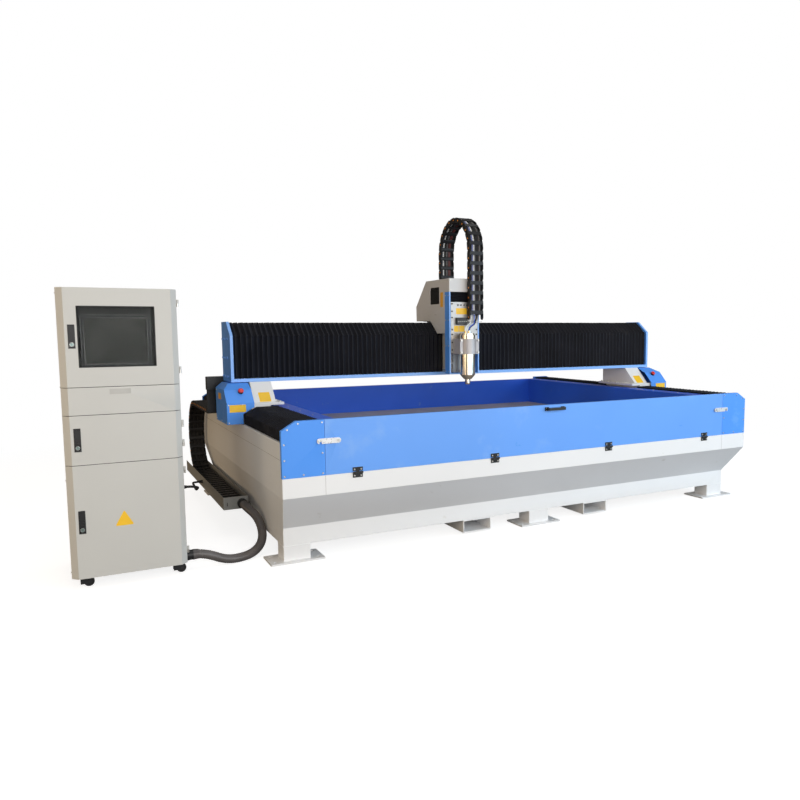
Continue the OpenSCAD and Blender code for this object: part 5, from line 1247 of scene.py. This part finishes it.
refined("cabinet_shell", "cabinet_cream", bevel=1.5)
for node in ("window_door", "middle_door", "lower_door"):
    refined(node, ["cabinet_cream", "black_plastic", "painted_shade_dark"], bevel=1.2, segments=3,
            pick=door_finish)
refined("keyboard_drawer", ["cabinet_cream", "label_grey", "black_plastic", "painted_shade_dark"], bevel=1.0,
        pick=drawer_finish)
for node, body, z in (("upper_lock", "lock_a", 1375), ("middle_lock", "lock_b", 797),
                      ("lower_lock", "lock_c", 328)):
    refined(node, ["black_plastic", "plated_steel"], bevel=1.0,
            pick=lambda n, p: "plated_steel" if p[1] < 268.6 else "black_plastic")
    key = Piece(node + "_key", "key_metal", body)
    key.turned((-3071.5, 267, z + 22), (0, -1, 0), [(-0.5, 10.2), (0.8, 10.2), (1.4, 9.4),
                                                    (1.4, 7.6), (0.6, 7.2), (0.6, 0.5)], 32)
    # painted shade: a black strip on the key's face stands in for the shade in its slot
    key.use("mark_black")
    key.block((-3072.3, 266.2, z + 17), (-3070.7, 266.9, z + 27))
    key.use("black_plastic")
    for rib in (46, 54, 62):
        key.block((-3084, 266.4, z + rib), (-3059, 269.2, z + rib + 4))
    key.done(bevel=0.5)

# painted shade: the first block is near black and fills the window behind the monitor's bezel,
# standing in for the dark inside of the cabinet
screen = Piece("monitor_set", "painted_shade_dark", "monitor_door")
screen.block((-3050, 288, 1260), (-2633, 306, 1618))
screen.use("monitor_bezel")
frame_plate(screen, 276, 288.2, (-3027, -2664, 1262, 1562), (-3011, -2680, 1284, 1546))
screen.use("bezel_edge")
frame_plate(screen, 275.4, 276.4, (-3027, -2664, 1262, 1562), (-3025, -2666, 1264, 1560))
frame_plate(screen, 276.2, 283, (-3011, -2680, 1284, 1546), (-3008.6, -2682.4, 1286.4, 1543.6))
screen.use("screen_glass")
screen.block((-3010, 281, 1285), (-2681, 283, 1545))
screen.use("plated_steel")
for i in range(5):
    screen.block((-2790 + i * 14, 275.2, 1270), (-2782 + i * 14, 276.6, 1272.4))
screen.done(bevel=0.5, replaces="monitor")
glazing = Piece("window_pane", "pane_glass", "monitor_door")
glazing.block((-3040.4, 271.0, 1269.6), (-2642.6, 272.6, 1608.4))
glazing.done()
gasket = Piece("window_gasket", "black_rubber", "monitor_door")
frame_plate(gasket, 269.6, 273.4, (-3042.5, -2640.5, 1267.5, 1610.5),
            (-3036, -2647, 1274, 1604))
gasket.done(bevel=0.7)

# lift-off panel with louvres on the cabinet's back, held by two quarter-turn locks
LOUVRES, LOUVRE_PITCH = 9, 21
panel = Piece("cabinet_back_panel", "cabinet_cream", "bed")
panel.block((-3108, 869.6, 104), (-2547, 872.6, 1674))
for z0 in (230, 1380):
    for x in (-3050, -2790):
        for i in range(LOUVRES):
            z = z0 + i * LOUVRE_PITCH
            panel.use("cabinet_cream")
            panel.prism("x", x, x + 185, [(872, z), (878.6, z), (878.6, z + 1.6), (872, z + 13)])
            # painted shade: a dark strip under each louvre stands in for the shade in the opening
            # behind it
            panel.use("painted_shade_dark")
            panel.block((x + 3, 872.4, z - 3.4), (x + 182, 873.2, z - 0.2))
panel.use("black_plastic")
for x in (-3080, -2575):
    panel.turned((x, 872.4, 860), (0, 1, 0), [(0, 0.5), (0, 15), (2.4, 15), (3.4, 13.6),
                                              (3.4, 0.5)], 28)
panel.use("key_metal")
for x in (-3080, -2575):
    panel.turned((x, 875.6, 860), (0, 1, 0), [(0, 0.5), (0, 7.5), (1.6, 7.5), (1.6, 3.4),
                                              (0.6, 3.0), (0.6, 0.5)], 20)
panel.done(bevel=0.6, smooth=40)
screws("cabinet_panel_screws", "bed", [((x, 872.6, z), (0, 1, 0)) for x in (-3096, -2559)
                                       for z in (116, 610, 1110, 1662)], r=4.2, height=2.4)
screws("cabinet_side_screws", "bed", [((-3140, y, z), (-1, 0, 0)) for y in (336, 846)
                                      for z in (96, 630, 1160, 1682)], r=4.2, height=2.4)

# three-cornered label on the lower door, its corners eased over 10 mm
triangle = Piece("door_label_plate", "label_yellow", "base_door")
corners = [Vector(c) for c in ((-2903, 351), (-2803, 351), (-2853, 440))]
outline = []
for i, corner in enumerate(corners):
    start = corner + (corners[i - 1] - corner).normalized() * 10
    end = corner + (corners[(i + 1) % 3] - corner).normalized() * 10
    outline += [start, start * 0.25 + corner * 0.5 + end * 0.25, end]
triangle.prism("y", 269.4, 270.3, [tuple(place) for place in outline])
triangle.done()


def key_cap(mesh):
    """A key of the keyboard: (half width, height) at its foot, above it and at its top"""
    skin(mesh, [[(x * s / 1000, y * s / 1000, z / 1000) for x, y in
                 ((-1, -1), (1, -1), (1, 1), (-1, 1))] for s, z in ((7.6, 0), (7.6, 1.5), (6.2, 4))])


KEY = part_mesh(key_cap)
copies("keyboard_keys", "drawer", KEY, [((-3030 + 18.2 * i + (j % 3) * 4, 400 + 22 * j, 1031),
                                         (0, 0, 0)) for i in range(22) for j in range(6)],
       "monitor_bezel")
bpy.data.objects.remove(KEY)
refined("drive_modules", ["module_grey", "black_plastic"], bevel=2.0,
        pick=lambda n, p: "black_plastic" if p[2] < 500 and p[0] < -2850 else "module_grey")
refined("cabinet_hardware", ["plated_steel", "black_plastic"], bevel=0.8,
        pick=lambda n, p: "black_plastic" if p[0] > -2515.5 and p[1] > 318 and p[2] > 60
        else "plated_steel")
for node in ("caster_fork_left", "caster_fork_right"):
    refined(node, "black_paint", bevel=0.8)
WHEEL_R, WHEEL_W = 28, 26
for code, x, y, axle in (("fl", -3052, 345, (0, 1, 0)), ("fr", -2547, 345, (0, 1, 0)),
                         ("rl", -3080, 810, (1, 0, 0)), ("rr", -2575, 810, (1, 0, 0))):
    wheel = Piece(f"caster_wheel_{code}_turned", "black_rubber", f"wheel_{code}")
    base = Vector((x, y, WHEEL_R)) - Vector(axle) * (WHEEL_W / 2)
    wheel.turned(base, axle, [(2.4, 4.1), (2.4, 18.5), (0.7, 19.5), (0, 21.5), (0, 24.6),
                              (1.6, 27), (4.8, WHEEL_R), (21.2, WHEEL_R), (24.4, 27),
                              (WHEEL_W, 24.6), (WHEEL_W, 21.5),
                              (25.3, 19.5), (23.6, 18.5), (23.6, 4.1), (2.4, 4.1)], 44)
    wheel.use("hub_grey")
    wheel.turned(base, axle, [(0.8, 4.1), (0.8, 9.5), (2.4, 11.5), (2.5, 16.5), (23.5, 16.5),
                              (23.6, 11.5), (25.2, 9.5), (25.2, 4.1), (0.8, 4.1)], 32)
    wheel.done(replaces=f"caster_wheel_{code}")

# sleeves where the cords leave their glands
sleeves = Piece("cord_sleeves", "grey_hose", "bed")
for base, direction, r0, r1, length in (((-2475.4, 354, 95), (1, 0, 0), 33.0, 29.8, 34),
                                        ((-2043, 941.6, 240), (0, -1, 0), 34.5, 30.4, 30),
                                        ((-2490.4, 560, 480), (1, 0, 0), 12.5, 8.9, 24),
                                        ((-2184.4, 1850, 250), (-1, 0, 0), 12.0, 9.0, 20)):
    bore = r1 - 0.9
    profile = [(0, bore)]
    for i in range(6):
        s = length * i / 6
        r = r0 + (r1 - r0) * i / 6
        profile += [(s, r), (s + length / 9, r), (s + length / 9 + 0.6, r - 1.0)]
    profile += [(length, r1 - 0.2), (length, bore), (0, bore)]
    sleeves.turned(base, direction, profile, 28)
    sleeves.use("black_rubber")
sleeves.done(smooth=50)
